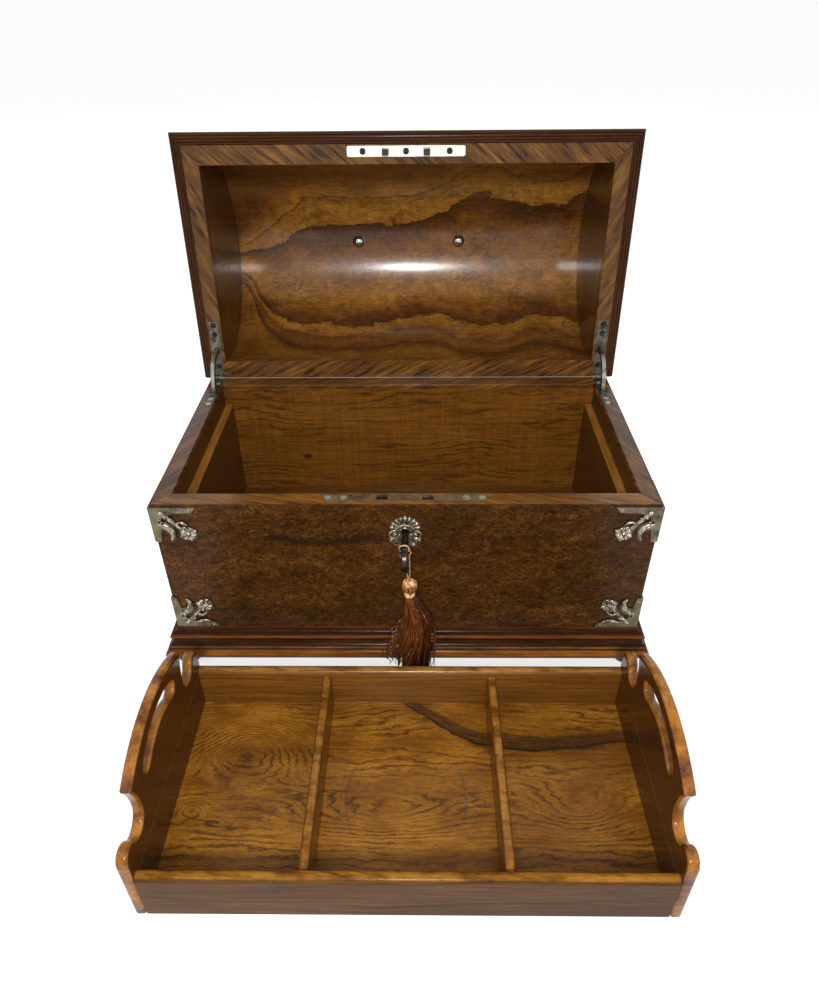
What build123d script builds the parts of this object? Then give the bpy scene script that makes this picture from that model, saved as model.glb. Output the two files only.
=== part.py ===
from build123d import *
import os
from math import asin, cos, degrees, radians, sin

os.makedirs("parts", exist_ok=True)

# A domed walnut jewellery casket, lid open, with its lift-out tray in front.
# Millimetres. X is the case's width, +Y its back, +Z up. Everything is drawn about
# the centre of the case's footprint; the files are moved along Y by one distance,
# so that the origin is the centre of the whole object, on the surface it stands on.

# Case
CASE_WIDTH = 347.0
CASE_DEPTH = 190.0
RIM_HEIGHT = 150.0
VENEER = 1.0
WALL = 13.0
SIDE_WALL = 11.5
LIPPING_THICKNESS = 4.0
CARCASS_HEIGHT = 32.0
BOTTOM_THICKNESS = 8.0
BOTTOM_RAISE = 2.0
BOTTOM_GROOVE = 4.0
LINER_THICKNESS = 6.5
LINER_DROP = 19.0

# Plinth and feet
FOOT_HEIGHT = 8.0
FOOT_RADIUS = 11.0
FOOT_INSET = 3.0
PLINTH_OVERHANG = 10.75
PLINTH_INSET = 24.0
PLINTH_SIDE_SET = 1.5
PLINTH_TORUS = 5.0
PLINTH_BEAD = 1.75
PLINTH_LIP = 3.5
BASE_BOARD_THICKNESS = 5.0
BASE_BOARD_RAISE = 3.0

# Lid
LID_LEAN = 5.5
LID_GAP = 0.3
LID_FRAME_THICKNESS = 8.0
LID_LIP = 14.5
LID_BACK_LIP = 15.0
LID_FRONT_LIP = 18.0
LID_OVERHANG = 6.5
LID_FRONT_OVERHANG = 4.8
MOULDING_WIDTH = 8.8
DOME_SPRING = 22.0
DOME_THICKNESS = 12.0

# Quadrant hinges
LEAF_WIDTH = 8.0
LEAF_LENGTH = 50.0
LEAF_THICKNESS = 1.5
LEAF_INSET = 8.0
BARREL_RADIUS = 2.4
PIN_RADIUS = 1.0
PIN_FIT = 0.05
KNUCKLE_GAP = 0.3
STAY_RADIUS = 24.5
STAY_WIDTH = 5.0
STAY_THICKNESS = 3.0
STAY_LUG = 1.0
STAY_CLEARANCE = 0.35
STAY_TAIL = 10.0
STAY_LUG_ARC = 5.0

# Screws
SCREW_HEAD_RADIUS = 2.4
SCREW_HEAD_HEIGHT = 1.4
SCREW_SHANK_RADIUS = 1.1
SCREW_LENGTH = 8.0
SCREW_SLOT_WIDTH = 0.6
SCREW_SLOT_DEPTH = 0.5

# Lock, link plate and key
LOCK_INSET = 9.0
LOCK_WIDTH = 65.0
LOCK_DEPTH = 40.0
LOCK_THICKNESS = 7.4
LOCK_PLATE = 1.0
LOCK_FIT = 0.1
SELVEDGE_LENGTH = 112.0
SELVEDGE_WIDTH = 7.6
SELVEDGE_THICKNESS = 1.5
SELVEDGE_SCREWS = (42.0, 53.0)
STAPLE_SPACING = 31.4
STAPLE_SIZE = 4.6
STAPLE_DROP = 8.0
STAPLE_EYE = 3.6
STAPLE_EYE_WIDTH = 2.4
STAPLE_WALL = 0.9
STAPLE_SLOT = (7.5, 5.4)
LINK_PLATE_LENGTH = 90.0
LINK_PLATE_WIDTH = 7.6
LINK_PLATE_CORNER = 1.6
LINK_PLATE_SCREW = 33.0
KEY_DROP = 23.0
KEY_SHANK_RADIUS = 2.75
KEY_CLEARANCE = 0.35
KEY_BIT_REACH = 8.6
KEY_BIT_THICKNESS = 1.8
DRILL_PIN_RADIUS = 1.25
DRILL_PIN_FIT = 0.08
KEY_SHANK_REACH = 21.5
KEY_NECK_RADIUS = 2.25
BOW_LENGTH = 18.0
BOW_HEIGHT = 19.5
BOW_WIRE = 3.2
BOW_THICKNESS = 4.8
BOW_ROUNDING = 1.3
BOW_SINK = 0.9
BOLT_TRAVEL = 6.0
BOLT_HEIGHT = 9.5
BOLT_THICKNESS = 4.8
BOLT_TOE = 5.0
GUIDE_HEIGHT = 2.4
RISER_WIDTH = 3.5
BIT_CHORD = 7.2
NOSE_THICKNESS = 1.8
NOSE_HEIGHT = 2.6

# Escutcheon and corner mounts
ESCUTCHEON_THICKNESS = 1.2
MOUNT_THICKNESS = 1.1
MOUNT_ARM = 31.5
MOUNT_DROP = 29.5
MOUNT_ARM_WIDTH = 5.6
FLOWER_RADIUS = 6.2
FLOWER_PETALS = 9

# Tassel
TASSEL_CORD_RADIUS = 0.7
TASSEL_CORD_FIT = 0.05
TASSEL_DROP = 26.0
TASSEL_HEAD_RADIUS = 5.4
TASSEL_FLOOR_GAP = 9.0
TASSEL_HALF_WIDTH = 15.5
TASSEL_HALF_DEPTH = 9.2

# Handle
POST_SPACING = 93.0
POST_HEIGHT = 11.0
POST_SHANK_RADIUS = 2.0
POST_BALL_RADIUS = 4.5
POST_STEM_RADIUS = 2.6
ROSETTE_RADIUS = 9.0
ROSETTE_THICKNESS = 2.0
NUT_RADIUS = 5.6
NUT_HEIGHT = 4.2
BAIL_HALF_WIDTH = 39.0
BAIL_DROP = 30.0
BAIL_WIRE_RADIUS = 2.3
BAIL_GRIP_RADIUS = 3.8
BAIL_PIN_RADIUS = 1.55
BAIL_PIN_LENGTH = 11.5
BAIL_PIN_FIT = 0.06

# Tray
TRAY_WIDTH = 316.0
TRAY_DEPTH = 156.0
TRAY_X = 2.5
TRAY_Y = -213.0
TRAY_BOARD = 7.5
TRAY_RAIL_HEIGHT = 38.0
TRAY_FLOOR = 5.0
TRAY_DIVIDER_THICKNESS = 6.5
TRAY_DIVIDER_HEIGHT = 33.0
TRAY_DIVIDER_X = 58.6
GALLERY_LOBE = 8.0
GALLERY_LOBE_HEIGHT = 56.0
GALLERY_HOLLOW_WIDTH = 8.0
GALLERY_HOLLOW_HEIGHT = 47.0
GALLERY_NECK = 46.0
GALLERY_CUSP = 51.5
GALLERY_CUSP_HEIGHT = 78.5
GALLERY_HEIGHT = 92.5
GRIP_HALF_SPAN = 26.5
GRIP_LOW = 71.0
GRIP_HIGH = 77.8
GRIP_WIDTH = 10.8
GALLERY_ROUNDING = 2.5

# Places worked out from the sizes above
HALF_WIDTH = CASE_WIDTH / 2
HALF_DEPTH = CASE_DEPTH / 2
WALL_X = HALF_WIDTH - VENEER
WALL_Y = HALF_DEPTH - VENEER
INSIDE_X = WALL_X - SIDE_WALL
INSIDE_Y = WALL_Y - WALL
WALL_TOP = RIM_HEIGHT - LIPPING_THICKNESS
BOTTOM_Z = CARCASS_HEIGHT + BOTTOM_RAISE
FLOOR_Z = BOTTOM_Z + BOTTOM_THICKNESS
LINER_TOP = RIM_HEIGHT - LINER_DROP
LOCK_Y = -HALF_DEPTH + LOCK_INSET
LEAF_X = HALF_WIDTH - LEAF_INSET
KEY_Z = RIM_HEIGHT - KEY_DROP
STAPLE_X = STAPLE_SPACING / 2

LEAN = radians(LID_LEAN)
HINGE = Vector(0, HALF_DEPTH, RIM_HEIGHT)
LID_UP = Vector(0, sin(LEAN), cos(LEAN))
LID_IN = Vector(0, cos(LEAN), -sin(LEAN))
LID = Plane(origin=HINGE, x_dir=(1, 0, 0), z_dir=-LID_IN)
CASE_SECTION = Plane(origin=HINGE, x_dir=(0, -1, 0), z_dir=(-1, 0, 0))
LID_SECTION = Plane(origin=HINGE, x_dir=LID_UP, z_dir=(-1, 0, 0))
OPEN_ANGLE = 90.0 + LID_LEAN
DOME_RADIUS = HALF_DEPTH
LID_HEIGHT = DOME_SPRING + DOME_RADIUS
FRAME_BACK = LID_GAP + LID_FRAME_THICKNESS
LID_INSIDE_X = HALF_WIDTH - LID_LIP
LID_OPENING = (LID_BACK_LIP, CASE_DEPTH - LID_FRONT_LIP)
FRONT_REACH = TRAY_DEPTH / 2 - TRAY_Y
BACK_REACH = HALF_DEPTH * (1 + sin(LEAN)) + (LID_HEIGHT + POST_HEIGHT) * cos(LEAN) + POST_BALL_RADIUS
CASE_Y = (FRONT_REACH - BACK_REACH) / 2
HANG_DOWN = (Align.CENTER, Align.CENTER, Align.MAX)
STAND_UP = (Align.CENTER, Align.CENTER, Align.MIN)


def save(piece, name):
    """Label a finished piece and write its STEP file, moved to the whole object's origin."""
    placed = piece.part.moved(Location((0, CASE_Y, 0)))
    placed.label = name
    export_step(placed, f"parts/{name}.step")


def slab(x_span, y_span, z_span, mode=Mode.ADD):
    """A box between two corners, added to or cut from the current part."""
    with BuildSketch(Plane.XY.offset(z_span[0])) as outline:
        with Locations(((x_span[0] + x_span[1]) / 2, (y_span[0] + y_span[1]) / 2)):
            Rectangle(x_span[1] - x_span[0], y_span[1] - y_span[0])
    extrude(outline.sketch, amount=z_span[1] - z_span[0], mode=mode)


def lid_slab(x_span, up_span, in_span, mode=Mode.ADD):
    """A box in the open lid's own directions: across, up from the hinge, and inwards."""
    with BuildSketch(LID.offset(-in_span[1])) as outline:
        with Locations(((x_span[0] + x_span[1]) / 2, (up_span[0] + up_span[1]) / 2)):
            Rectangle(x_span[1] - x_span[0], up_span[1] - up_span[0])
    extrude(outline.sketch, amount=in_span[1] - in_span[0], mode=mode)


def lid_spot(across, up, inward, facing):
    """A place on the open lid, with its Z along the given direction."""
    origin = LID.from_local_coords(Vector(across, up, -inward))
    return Plane(origin=origin, x_dir=(1, 0, 0), z_dir=facing).location


def screws(spots, mode=Mode.ADD):
    """Countersunk screws, heads flush with each spot's plane; cut mode makes their holes."""
    with Locations(*spots):
        Cylinder(SCREW_SHANK_RADIUS, SCREW_LENGTH, align=HANG_DOWN, mode=mode)
        Cone(SCREW_SHANK_RADIUS, SCREW_HEAD_RADIUS, SCREW_HEAD_HEIGHT, align=HANG_DOWN, mode=mode)
        if mode == Mode.ADD:
            slot_length = 2 * SCREW_HEAD_RADIUS
            Box(slot_length, SCREW_SLOT_WIDTH, SCREW_SLOT_DEPTH, align=HANG_DOWN, mode=Mode.SUBTRACT)


def frame_member(base, centre, half, outward, profile):
    """One mitred length of a rectangular frame lying in the base plane.

    The profile is drawn with x outward from the frame's edge line and y along the base's normal.
    """
    out = base.x_dir * outward[0] + base.y_dir * outward[1]
    reach = abs(half[0] * outward[0]) + abs(half[1] * outward[1])
    length = abs(half[1] * outward[0]) + abs(half[0] * outward[1])
    middle = base.from_local_coords(Vector(centre[0], centre[1], 0)) + out * reach
    along = out.cross(base.z_dir)
    with BuildPart() as member:
        with BuildSketch(Plane(origin=middle, x_dir=out, z_dir=along)):
            add(profile)
        extrude(amount=length * 1.25, both=True)
        for end in (-1, 1):
            corner = middle + along * (end * length)
            split(bisect_by=Plane(origin=corner, z_dir=out - along * end), keep=Keep.TOP)
    return member


FRONT, RIGHT, BACK, LEFT = (0, -1), (1, 0), (0, 1), (-1, 0)
CASE_HALF = (HALF_WIDTH, HALF_DEPTH)
PLINTH_HALF = (HALF_WIDTH + PLINTH_SIDE_SET, HALF_DEPTH)


# Feet: flattened buns, flat where they meet the plinth and the surface
FOOT_X = PLINTH_HALF[0] + PLINTH_OVERHANG - FOOT_RADIUS - FOOT_INSET
FOOT_Y = HALF_DEPTH + PLINTH_OVERHANG - FOOT_RADIUS - FOOT_INSET
FOOT_SOLE = FOOT_RADIUS * 0.68
with BuildPart() as foot:
    with BuildSketch(Plane.XZ) as foot_section:
        with BuildLine():
            Polyline((0, FOOT_HEIGHT), (0, 0), (FOOT_SOLE, 0))
            ThreePointArc(
                (FOOT_SOLE, 0), (FOOT_RADIUS, FOOT_HEIGHT * 0.55), (FOOT_RADIUS * 0.9, FOOT_HEIGHT)
            )
            Line((FOOT_RADIUS * 0.9, FOOT_HEIGHT), (0, FOOT_HEIGHT))
        make_face()
    revolve(axis=Axis.Z)
with BuildPart() as feet:
    with GridLocations(2 * FOOT_X, 2 * FOOT_Y, 2, 2):
        add(foot.part)
save(feet, "feet")


def plinth_profile():
    """Torus below, then a fillet, a cove, a bead and a small cove up to the carcass."""
    low = FOOT_HEIGHT
    torus_x = PLINTH_OVERHANG - PLINTH_TORUS
    torus_top = low + 1 + 2 * PLINTH_TORUS
    top = CARCASS_HEIGHT + PLINTH_LIP
    bead_low = top - 8.5
    bead_x = torus_x - 1.5
    with BuildSketch(Plane.XY) as profile:
        with BuildLine():
            Polyline(
                (0.8, top),
                (0, top),
                (0, CARCASS_HEIGHT),
                (-PLINTH_INSET, CARCASS_HEIGHT),
                (-PLINTH_INSET, low),
                (torus_x + 1.5, low),
                (torus_x + 1.5, low + 1),
                (torus_x, low + 1),
            )
            ThreePointArc(
                (torus_x, low + 1), (PLINTH_OVERHANG, low + 1 + PLINTH_TORUS), (torus_x, torus_top)
            )
            Polyline((torus_x, torus_top), (torus_x + 2.5, torus_top), (torus_x + 2.5, torus_top + 1.5))
            ThreePointArc(
                (torus_x + 2.5, torus_top + 1.5), (torus_x, torus_top + 3.6), (bead_x, bead_low)
            )
            ThreePointArc(
                (bead_x, bead_low),
                (bead_x + PLINTH_BEAD, bead_low + PLINTH_BEAD),
                (bead_x, bead_low + 2 * PLINTH_BEAD),
            )
            ThreePointArc(
                (bead_x, bead_low + 2 * PLINTH_BEAD), (1.6, bead_low + 2 * PLINTH_BEAD + 1.7), (0.8, top)
            )
        make_face()
    return profile.sketch


for side_name, side in (("front", FRONT), ("right", RIGHT), ("back", BACK), ("left", LEFT)):
    plinth = frame_member(Plane.XY, (0, 0), PLINTH_HALF, side, plinth_profile())
    save(plinth, f"plinth_{side_name}")

BASE_BOARD_Z = FOOT_HEIGHT + BASE_BOARD_RAISE
BOARD_X = PLINTH_HALF[0] - PLINTH_INSET
BOARD_Y = HALF_DEPTH - PLINTH_INSET
with BuildPart() as base_board:
    slab((-BOARD_X, BOARD_X), (-BOARD_Y, BOARD_Y), (BASE_BOARD_Z, BASE_BOARD_Z + BASE_BOARD_THICKNESS))
save(base_board, "base_board")


# Places shared by the hinges, on the left; the right side is the mirror image
STAY_IN = STAY_RADIUS - STAY_WIDTH / 2
STAY_OUT = STAY_RADIUS + STAY_WIDTH / 2
STAY_TURN = OPEN_ANGLE / 2
STAY_ARC = OPEN_ANGLE + 2 * STAY_TAIL
POCKET_ARC = STAY_ARC / 2 + 1.5
LEAF_INNER = LEAF_X - LEAF_WIDTH / 2
LEAF_OUTER = LEAF_X + LEAF_WIDTH / 2
BARREL_RECESS = BARREL_RADIUS + STAY_CLEARANCE
LEAF_SCREWS = (11.0, 39.0, 47.0)
CASE_LEAF_SPOTS = [
    Location((-LEAF_X, HALF_DEPTH - reach, RIM_HEIGHT)) for reach in LEAF_SCREWS
]
LID_LEAF_SPOTS = [lid_spot(-LEAF_X, reach, LID_GAP, LID.z_dir) for reach in LEAF_SCREWS]


def arc_band(inner, outer, start, size):
    """A ring sector about the hinge axis."""
    begin, end = radians(start), radians(start + size)
    with BuildSketch(Plane.XY) as band:
        with BuildLine():
            CenterArc((0, 0), inner, start, size)
            CenterArc((0, 0), outer, start, size)
            Line((inner * cos(begin), inner * sin(begin)), (outer * cos(begin), outer * sin(begin)))
            Line((inner * cos(end), inner * sin(end)), (outer * cos(end), outer * sin(end)))
        make_face()
    return band.sketch


def stay_pocket(start, size):
    """The mortise, in the left wall or lid end, that the stay slides into."""
    half = STAY_THICKNESS / 2 + STAY_CLEARANCE
    lug = STAY_LUG + STAY_CLEARANCE
    with BuildSketch(CASE_SECTION.offset(LEAF_X - half)) as outline:
        add(arc_band(STAY_IN - lug, STAY_OUT + lug, start, size))
    extrude(outline.sketch, amount=2 * half, mode=Mode.SUBTRACT)


def stay_slot(start, size):
    """The narrower slot in a hinge leaf, which stops the stay's lugs."""
    half = STAY_THICKNESS / 2 + STAY_CLEARANCE
    with BuildSketch(CASE_SECTION.offset(LEAF_X - half)) as outline:
        add(arc_band(STAY_IN - STAY_CLEARANCE, STAY_OUT + STAY_CLEARANCE, start, size))
    extrude(outline.sketch, amount=2 * half, mode=Mode.SUBTRACT)


def barrel_recess(radius, x_span, mode=Mode.SUBTRACT):
    """A cylinder about the hinge axis, between two distances left of the centre."""
    with BuildSketch(CASE_SECTION.offset(x_span[0])) as outline:
        Circle(radius)
    extrude(outline.sketch, amount=x_span[1] - x_span[0], mode=mode)


# Lock places
LOCK_TOP = RIM_HEIGHT - SELVEDGE_THICKNESS
LOCK_BOTTOM = LOCK_TOP - LOCK_DEPTH
LOCK_FRONT = LOCK_Y - LOCK_THICKNESS / 2
LOCK_BACK = LOCK_Y + LOCK_THICKNESS / 2
SELVEDGE_SPOTS = [
    Location((sign * reach, LOCK_Y, RIM_HEIGHT)) for sign in (-1, 1) for reach in SELVEDGE_SCREWS
]


def keyhole(start_y, end_y):
    """Round hole and bit slot, cut along Y from the front."""
    with BuildSketch(Plane.XZ.offset(-start_y)) as outline:
        with Locations((0, KEY_Z)):
            Circle(KEY_SHANK_RADIUS + KEY_CLEARANCE)
        with Locations((0, KEY_Z - KEY_BIT_REACH / 2)):
            Rectangle(KEY_BIT_THICKNESS + 2 * KEY_CLEARANCE, KEY_BIT_REACH + 2 * KEY_CLEARANCE)
    extrude(outline.sketch, amount=start_y - end_y, mode=Mode.SUBTRACT)


def lock_mortise():
    """The pocket, from the top of the front wall, that the lock's body drops into."""
    half = LOCK_WIDTH / 2 + LOCK_FIT
    slab(
        (-half, half),
        (LOCK_FRONT - LOCK_FIT, LOCK_BACK + LOCK_FIT),
        (LOCK_BOTTOM - LOCK_FIT, RIM_HEIGHT + 1),
        mode=Mode.SUBTRACT,
    )


# Carcass: front and back between the end veneers, ends between them
def bottom_groove():
    """The housing for the bottom board's edges."""
    slab(
        (-INSIDE_X - BOTTOM_GROOVE, INSIDE_X + BOTTOM_GROOVE),
        (-INSIDE_Y - BOTTOM_GROOVE, INSIDE_Y + BOTTOM_GROOVE),
        (BOTTOM_Z, FLOOR_Z),
        mode=Mode.SUBTRACT,
    )


with BuildPart() as case_front:
    slab((-WALL_X, WALL_X), (-WALL_Y, -INSIDE_Y), (CARCASS_HEIGHT, WALL_TOP))
    bottom_groove()
    lock_mortise()
    keyhole(LOCK_FRONT, -WALL_Y)
    screws(SELVEDGE_SPOTS, mode=Mode.SUBTRACT)
save(case_front, "case_front")

with BuildPart() as case_back_half:
    slab((-WALL_X, 0), (INSIDE_Y, WALL_Y), (CARCASS_HEIGHT, WALL_TOP))
    bottom_groove()
    stay_pocket(-POCKET_ARC, POCKET_ARC)
    screws(CASE_LEAF_SPOTS, mode=Mode.SUBTRACT)
with BuildPart() as case_back:
    add(case_back_half.part)
    mirror(case_back_half.part, about=Plane.YZ)
save(case_back, "case_back")

with BuildPart() as case_left:
    slab((-WALL_X, -INSIDE_X), (-INSIDE_Y, INSIDE_Y), (CARCASS_HEIGHT, WALL_TOP))
    bottom_groove()
    stay_pocket(-POCKET_ARC, POCKET_ARC)
    screws(CASE_LEAF_SPOTS, mode=Mode.SUBTRACT)
save(case_left, "case_left")

with BuildPart() as case_right:
    mirror(case_left.part, about=Plane.YZ)
save(case_right, "case_right")

with BuildPart() as case_bottom:
    slab(
        (-INSIDE_X - BOTTOM_GROOVE, INSIDE_X + BOTTOM_GROOVE),
        (-INSIDE_Y - BOTTOM_GROOVE, INSIDE_Y + BOTTOM_GROOVE),
        (BOTTOM_Z, FLOOR_Z),
    )
save(case_bottom, "case_bottom")

with BuildPart() as end_liners:
    for x_span in ((-INSIDE_X, -INSIDE_X + LINER_THICKNESS), (INSIDE_X - LINER_THICKNESS, INSIDE_X)):
        slab(x_span, (-INSIDE_Y, INSIDE_Y), (FLOOR_Z, LINER_TOP))
save(end_liners, "end_liners")

# Veneers: the burr front alone, and the other three faces together
with BuildPart() as veneer_front:
    slab((-HALF_WIDTH, HALF_WIDTH), (-HALF_DEPTH, -WALL_Y), (CARCASS_HEIGHT, RIM_HEIGHT))
    keyhole(-WALL_Y, -HALF_DEPTH)
save(veneer_front, "veneer_front")

with BuildPart() as veneers_sides_back:
    slab((-HALF_WIDTH, HALF_WIDTH), (WALL_Y, HALF_DEPTH), (CARCASS_HEIGHT, RIM_HEIGHT))
    for x_span in ((-HALF_WIDTH, -WALL_X), (WALL_X, HALF_WIDTH)):
        slab(x_span, (-WALL_Y, WALL_Y), (CARCASS_HEIGHT, RIM_HEIGHT))
    for start in (LEAF_INNER - KNUCKLE_GAP, -LEAF_OUTER - KNUCKLE_GAP):
        barrel_recess(BARREL_RECESS, (start, start + LEAF_WIDTH + 2 * KNUCKLE_GAP))
save(veneers_sides_back, "veneers_sides_back")


def rim_profile(wall):
    """The rim's lipping, inside the veneer, with a softened inner arris."""
    with BuildSketch(Plane.XY) as profile:
        with BuildLine():
            FilletPolyline(
                (-VENEER, WALL_TOP),
                (-VENEER, RIM_HEIGHT),
                (-VENEER - wall, RIM_HEIGHT),
                (-VENEER - wall, WALL_TOP),
                radius=(0, 0.8),
            )
            Line((-VENEER - wall, WALL_TOP), (-VENEER, WALL_TOP))
        make_face()
    return profile.sketch


def case_leaf_recess():
    """The left leaf's bed in the rim, with its barrel, screws and stay."""
    slab(
        (-LEAF_OUTER, -LEAF_INNER),
        (HALF_DEPTH - LEAF_LENGTH, HALF_DEPTH),
        (RIM_HEIGHT - LEAF_THICKNESS, RIM_HEIGHT + 1),
        mode=Mode.SUBTRACT,
    )
    barrel_recess(BARREL_RECESS, (LEAF_INNER - KNUCKLE_GAP, LEAF_OUTER + KNUCKLE_GAP))
    stay_pocket(-POCKET_ARC, POCKET_ARC + 5)
    screws(CASE_LEAF_SPOTS, mode=Mode.SUBTRACT)


rim_sides = [
    frame_member(Plane.XY, (0, 0), CASE_HALF, side, rim_profile(SIDE_WALL)) for side in (RIGHT, LEFT)
]
rim_ends = [frame_member(Plane.XY, (0, 0), CASE_HALF, side, rim_profile(WALL)) for side in (FRONT, BACK)]
with BuildPart() as rim_left:
    add(rim_sides[1].part)
    case_leaf_recess()
with BuildPart() as rim_back_half:
    add(rim_ends[1].part)
    case_leaf_recess()
    split(bisect_by=Plane.YZ, keep=Keep.BOTTOM)
with BuildPart() as rim_back:
    add(rim_back_half.part)
    mirror(rim_back_half.part, about=Plane.YZ)
with BuildPart() as rim_front:
    add(rim_ends[0].part)
    lock_mortise()
    half_selvedge = SELVEDGE_LENGTH / 2
    slab(
        (-half_selvedge, half_selvedge),
        (LOCK_Y - SELVEDGE_WIDTH / 2, LOCK_Y + SELVEDGE_WIDTH / 2),
        (LOCK_TOP, RIM_HEIGHT + 1),
        mode=Mode.SUBTRACT,
    )
    screws(SELVEDGE_SPOTS, mode=Mode.SUBTRACT)
with BuildPart() as rim_right:
    mirror(rim_left.part, about=Plane.YZ)
for piece, side_name in ((rim_front, "front"), (rim_back, "back"), (rim_left, "left"), (rim_right, "right")):
    save(piece, f"rim_{side_name}")


# Lock: case, cover plate with its drill pin, spring and top plate
INNER_FRONT = LOCK_FRONT + LOCK_PLATE
INNER_BACK = LOCK_BACK - LOCK_PLATE
LOCK_INNER_X = LOCK_WIDTH / 2 - LOCK_PLATE
LOCK_INNER_TOP = LOCK_TOP - LOCK_PLATE
BOLT_LOW = KEY_Z + 4.5
BOLT_TOP = BOLT_LOW + BOLT_HEIGHT
STAPLE_LOW = RIM_HEIGHT + LID_GAP - STAPLE_DROP
NOSE_Z = STAPLE_LOW + STAPLE_WALL + STAPLE_EYE / 2
BOLT_FIT = 0.3
NOSE_START = STAPLE_X - STAPLE_SIZE / 2 - BOLT_FIT - BOLT_TRAVEL


def staple_slots(z_span):
    """The two slots that the staples drop through."""
    for sign in (-1, 1):
        slab(
            (sign * STAPLE_X - STAPLE_SLOT[0] / 2, sign * STAPLE_X + STAPLE_SLOT[0] / 2),
            (LOCK_Y - STAPLE_SLOT[1] / 2, LOCK_Y + STAPLE_SLOT[1] / 2),
            z_span,
            mode=Mode.SUBTRACT,
        )


with BuildPart() as lock_case:
    slab((-LOCK_WIDTH / 2, LOCK_WIDTH / 2), (LOCK_FRONT, LOCK_BACK), (LOCK_BOTTOM, LOCK_TOP))
    slab(
        (-LOCK_INNER_X, LOCK_INNER_X),
        (INNER_FRONT, LOCK_BACK + 1),
        (LOCK_BOTTOM + LOCK_PLATE, LOCK_INNER_TOP),
        mode=Mode.SUBTRACT,
    )
    slab(
        (KEY_BIT_REACH + 1.4, STAPLE_X + 10),
        (INNER_FRONT, INNER_BACK),
        (BOLT_LOW - GUIDE_HEIGHT, BOLT_LOW - BOLT_FIT),
    )
    for x_span in ((-STAPLE_X + 5.2, NOSE_START - RISER_WIDTH - 1.2), (STAPLE_X + 5.3, LOCK_INNER_X)):
        slab(x_span, (INNER_FRONT, INNER_BACK), (BOLT_TOP + BOLT_FIT, BOLT_TOP + GUIDE_HEIGHT))
    staple_slots((LOCK_INNER_TOP - 1, LOCK_TOP + 1))
    keyhole(INNER_FRONT, LOCK_FRONT)
save(lock_case, "lock_case")

with BuildPart() as lock_cover:
    slab((-LOCK_INNER_X, LOCK_INNER_X), (INNER_BACK, LOCK_BACK), (LOCK_BOTTOM + LOCK_PLATE, LOCK_INNER_TOP))
    with BuildSketch(Plane.XZ.offset(-LOCK_BACK)):
        with Locations((0, KEY_Z)):
            Circle(DRILL_PIN_RADIUS)
    extrude(amount=LOCK_BACK - LOCK_FRONT)
save(lock_cover, "lock_cover")

with BuildPart() as lock_spring:
    with BuildSketch(Plane.XZ.offset(-INNER_BACK + 1)):
        with BuildLine():
            Polyline(
                (-LOCK_INNER_X, BOLT_LOW - 14),
                (-LOCK_INNER_X + 1, BOLT_LOW - 14),
                (-LOCK_INNER_X + 1, BOLT_LOW - 2.6),
                (-12, BOLT_LOW - 1.1),
                (-12, BOLT_LOW - 0.3),
                (-LOCK_INNER_X, BOLT_LOW - 1.8),
                close=True,
            )
        make_face()
    extrude(amount=3)
save(lock_spring, "lock_spring")

with BuildPart() as lock_selvedge:
    slab(
        (-SELVEDGE_LENGTH / 2, SELVEDGE_LENGTH / 2),
        (LOCK_Y - SELVEDGE_WIDTH / 2, LOCK_Y + SELVEDGE_WIDTH / 2),
        (LOCK_TOP, RIM_HEIGHT),
    )
    staple_slots((LOCK_TOP, RIM_HEIGHT))
    screws(SELVEDGE_SPOTS, mode=Mode.SUBTRACT)
save(lock_selvedge, "lock_selvedge")

# The bolt: a bar with a gap for the key's bit, and two noses that pass the staples' eyes
NOSE_LENGTH = BOLT_TRAVEL - 0.1
with BuildPart() as lock_bolt:
    bolt_y = (LOCK_Y - BOLT_THICKNESS / 2, LOCK_Y + BOLT_THICKNESS / 2)
    bolt_left = NOSE_START - STAPLE_SPACING - RISER_WIDTH
    slab((bolt_left, STAPLE_X + 4), bolt_y, (BOLT_LOW, BOLT_TOP))
    slab(
        (-BIT_CHORD - BOLT_TRAVEL - BOLT_FIT, BIT_CHORD + BOLT_FIT),
        bolt_y,
        (BOLT_LOW, BOLT_LOW + BOLT_TOE),
        mode=Mode.SUBTRACT,
    )
    for shift in (0, -STAPLE_SPACING):
        root = NOSE_START + shift
        slab((root - RISER_WIDTH, root), bolt_y, (BOLT_TOP, NOSE_Z + NOSE_HEIGHT / 2))
        slab(
            (root, root + NOSE_LENGTH),
            (LOCK_Y - NOSE_THICKNESS / 2, LOCK_Y + NOSE_THICKNESS / 2),
            (NOSE_Z - NOSE_HEIGHT / 2, NOSE_Z + NOSE_HEIGHT / 2),
        )
save(lock_bolt, "lock_bolt")


# Hinges: a leaf on the rim, a leaf in the lid, a pin and a quadrant stay on each side
OUTER_KNUCKLE = (LEAF_WIDTH - 3.0) / 2
KNUCKLE_SPANS = (
    (LEAF_INNER, LEAF_INNER + OUTER_KNUCKLE),
    (LEAF_OUTER - OUTER_KNUCKLE, LEAF_OUTER),
)
MIDDLE_KNUCKLE = (LEAF_INNER + OUTER_KNUCKLE + KNUCKLE_GAP, LEAF_OUTER - OUTER_KNUCKLE - KNUCKLE_GAP)
MIDDLE_RECESS = (LEAF_INNER + OUTER_KNUCKLE, LEAF_OUTER - OUTER_KNUCKLE)
OUTER_RECESSES = (
    (LEAF_INNER - KNUCKLE_GAP, MIDDLE_KNUCKLE[0]),
    (MIDDLE_KNUCKLE[1], LEAF_OUTER + KNUCKLE_GAP),
)
LEAF_X_SPAN = (-LEAF_OUTER, -LEAF_INNER)
LID_LEAF_IN = (LID_GAP, LID_GAP + LEAF_THICKNESS)

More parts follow.
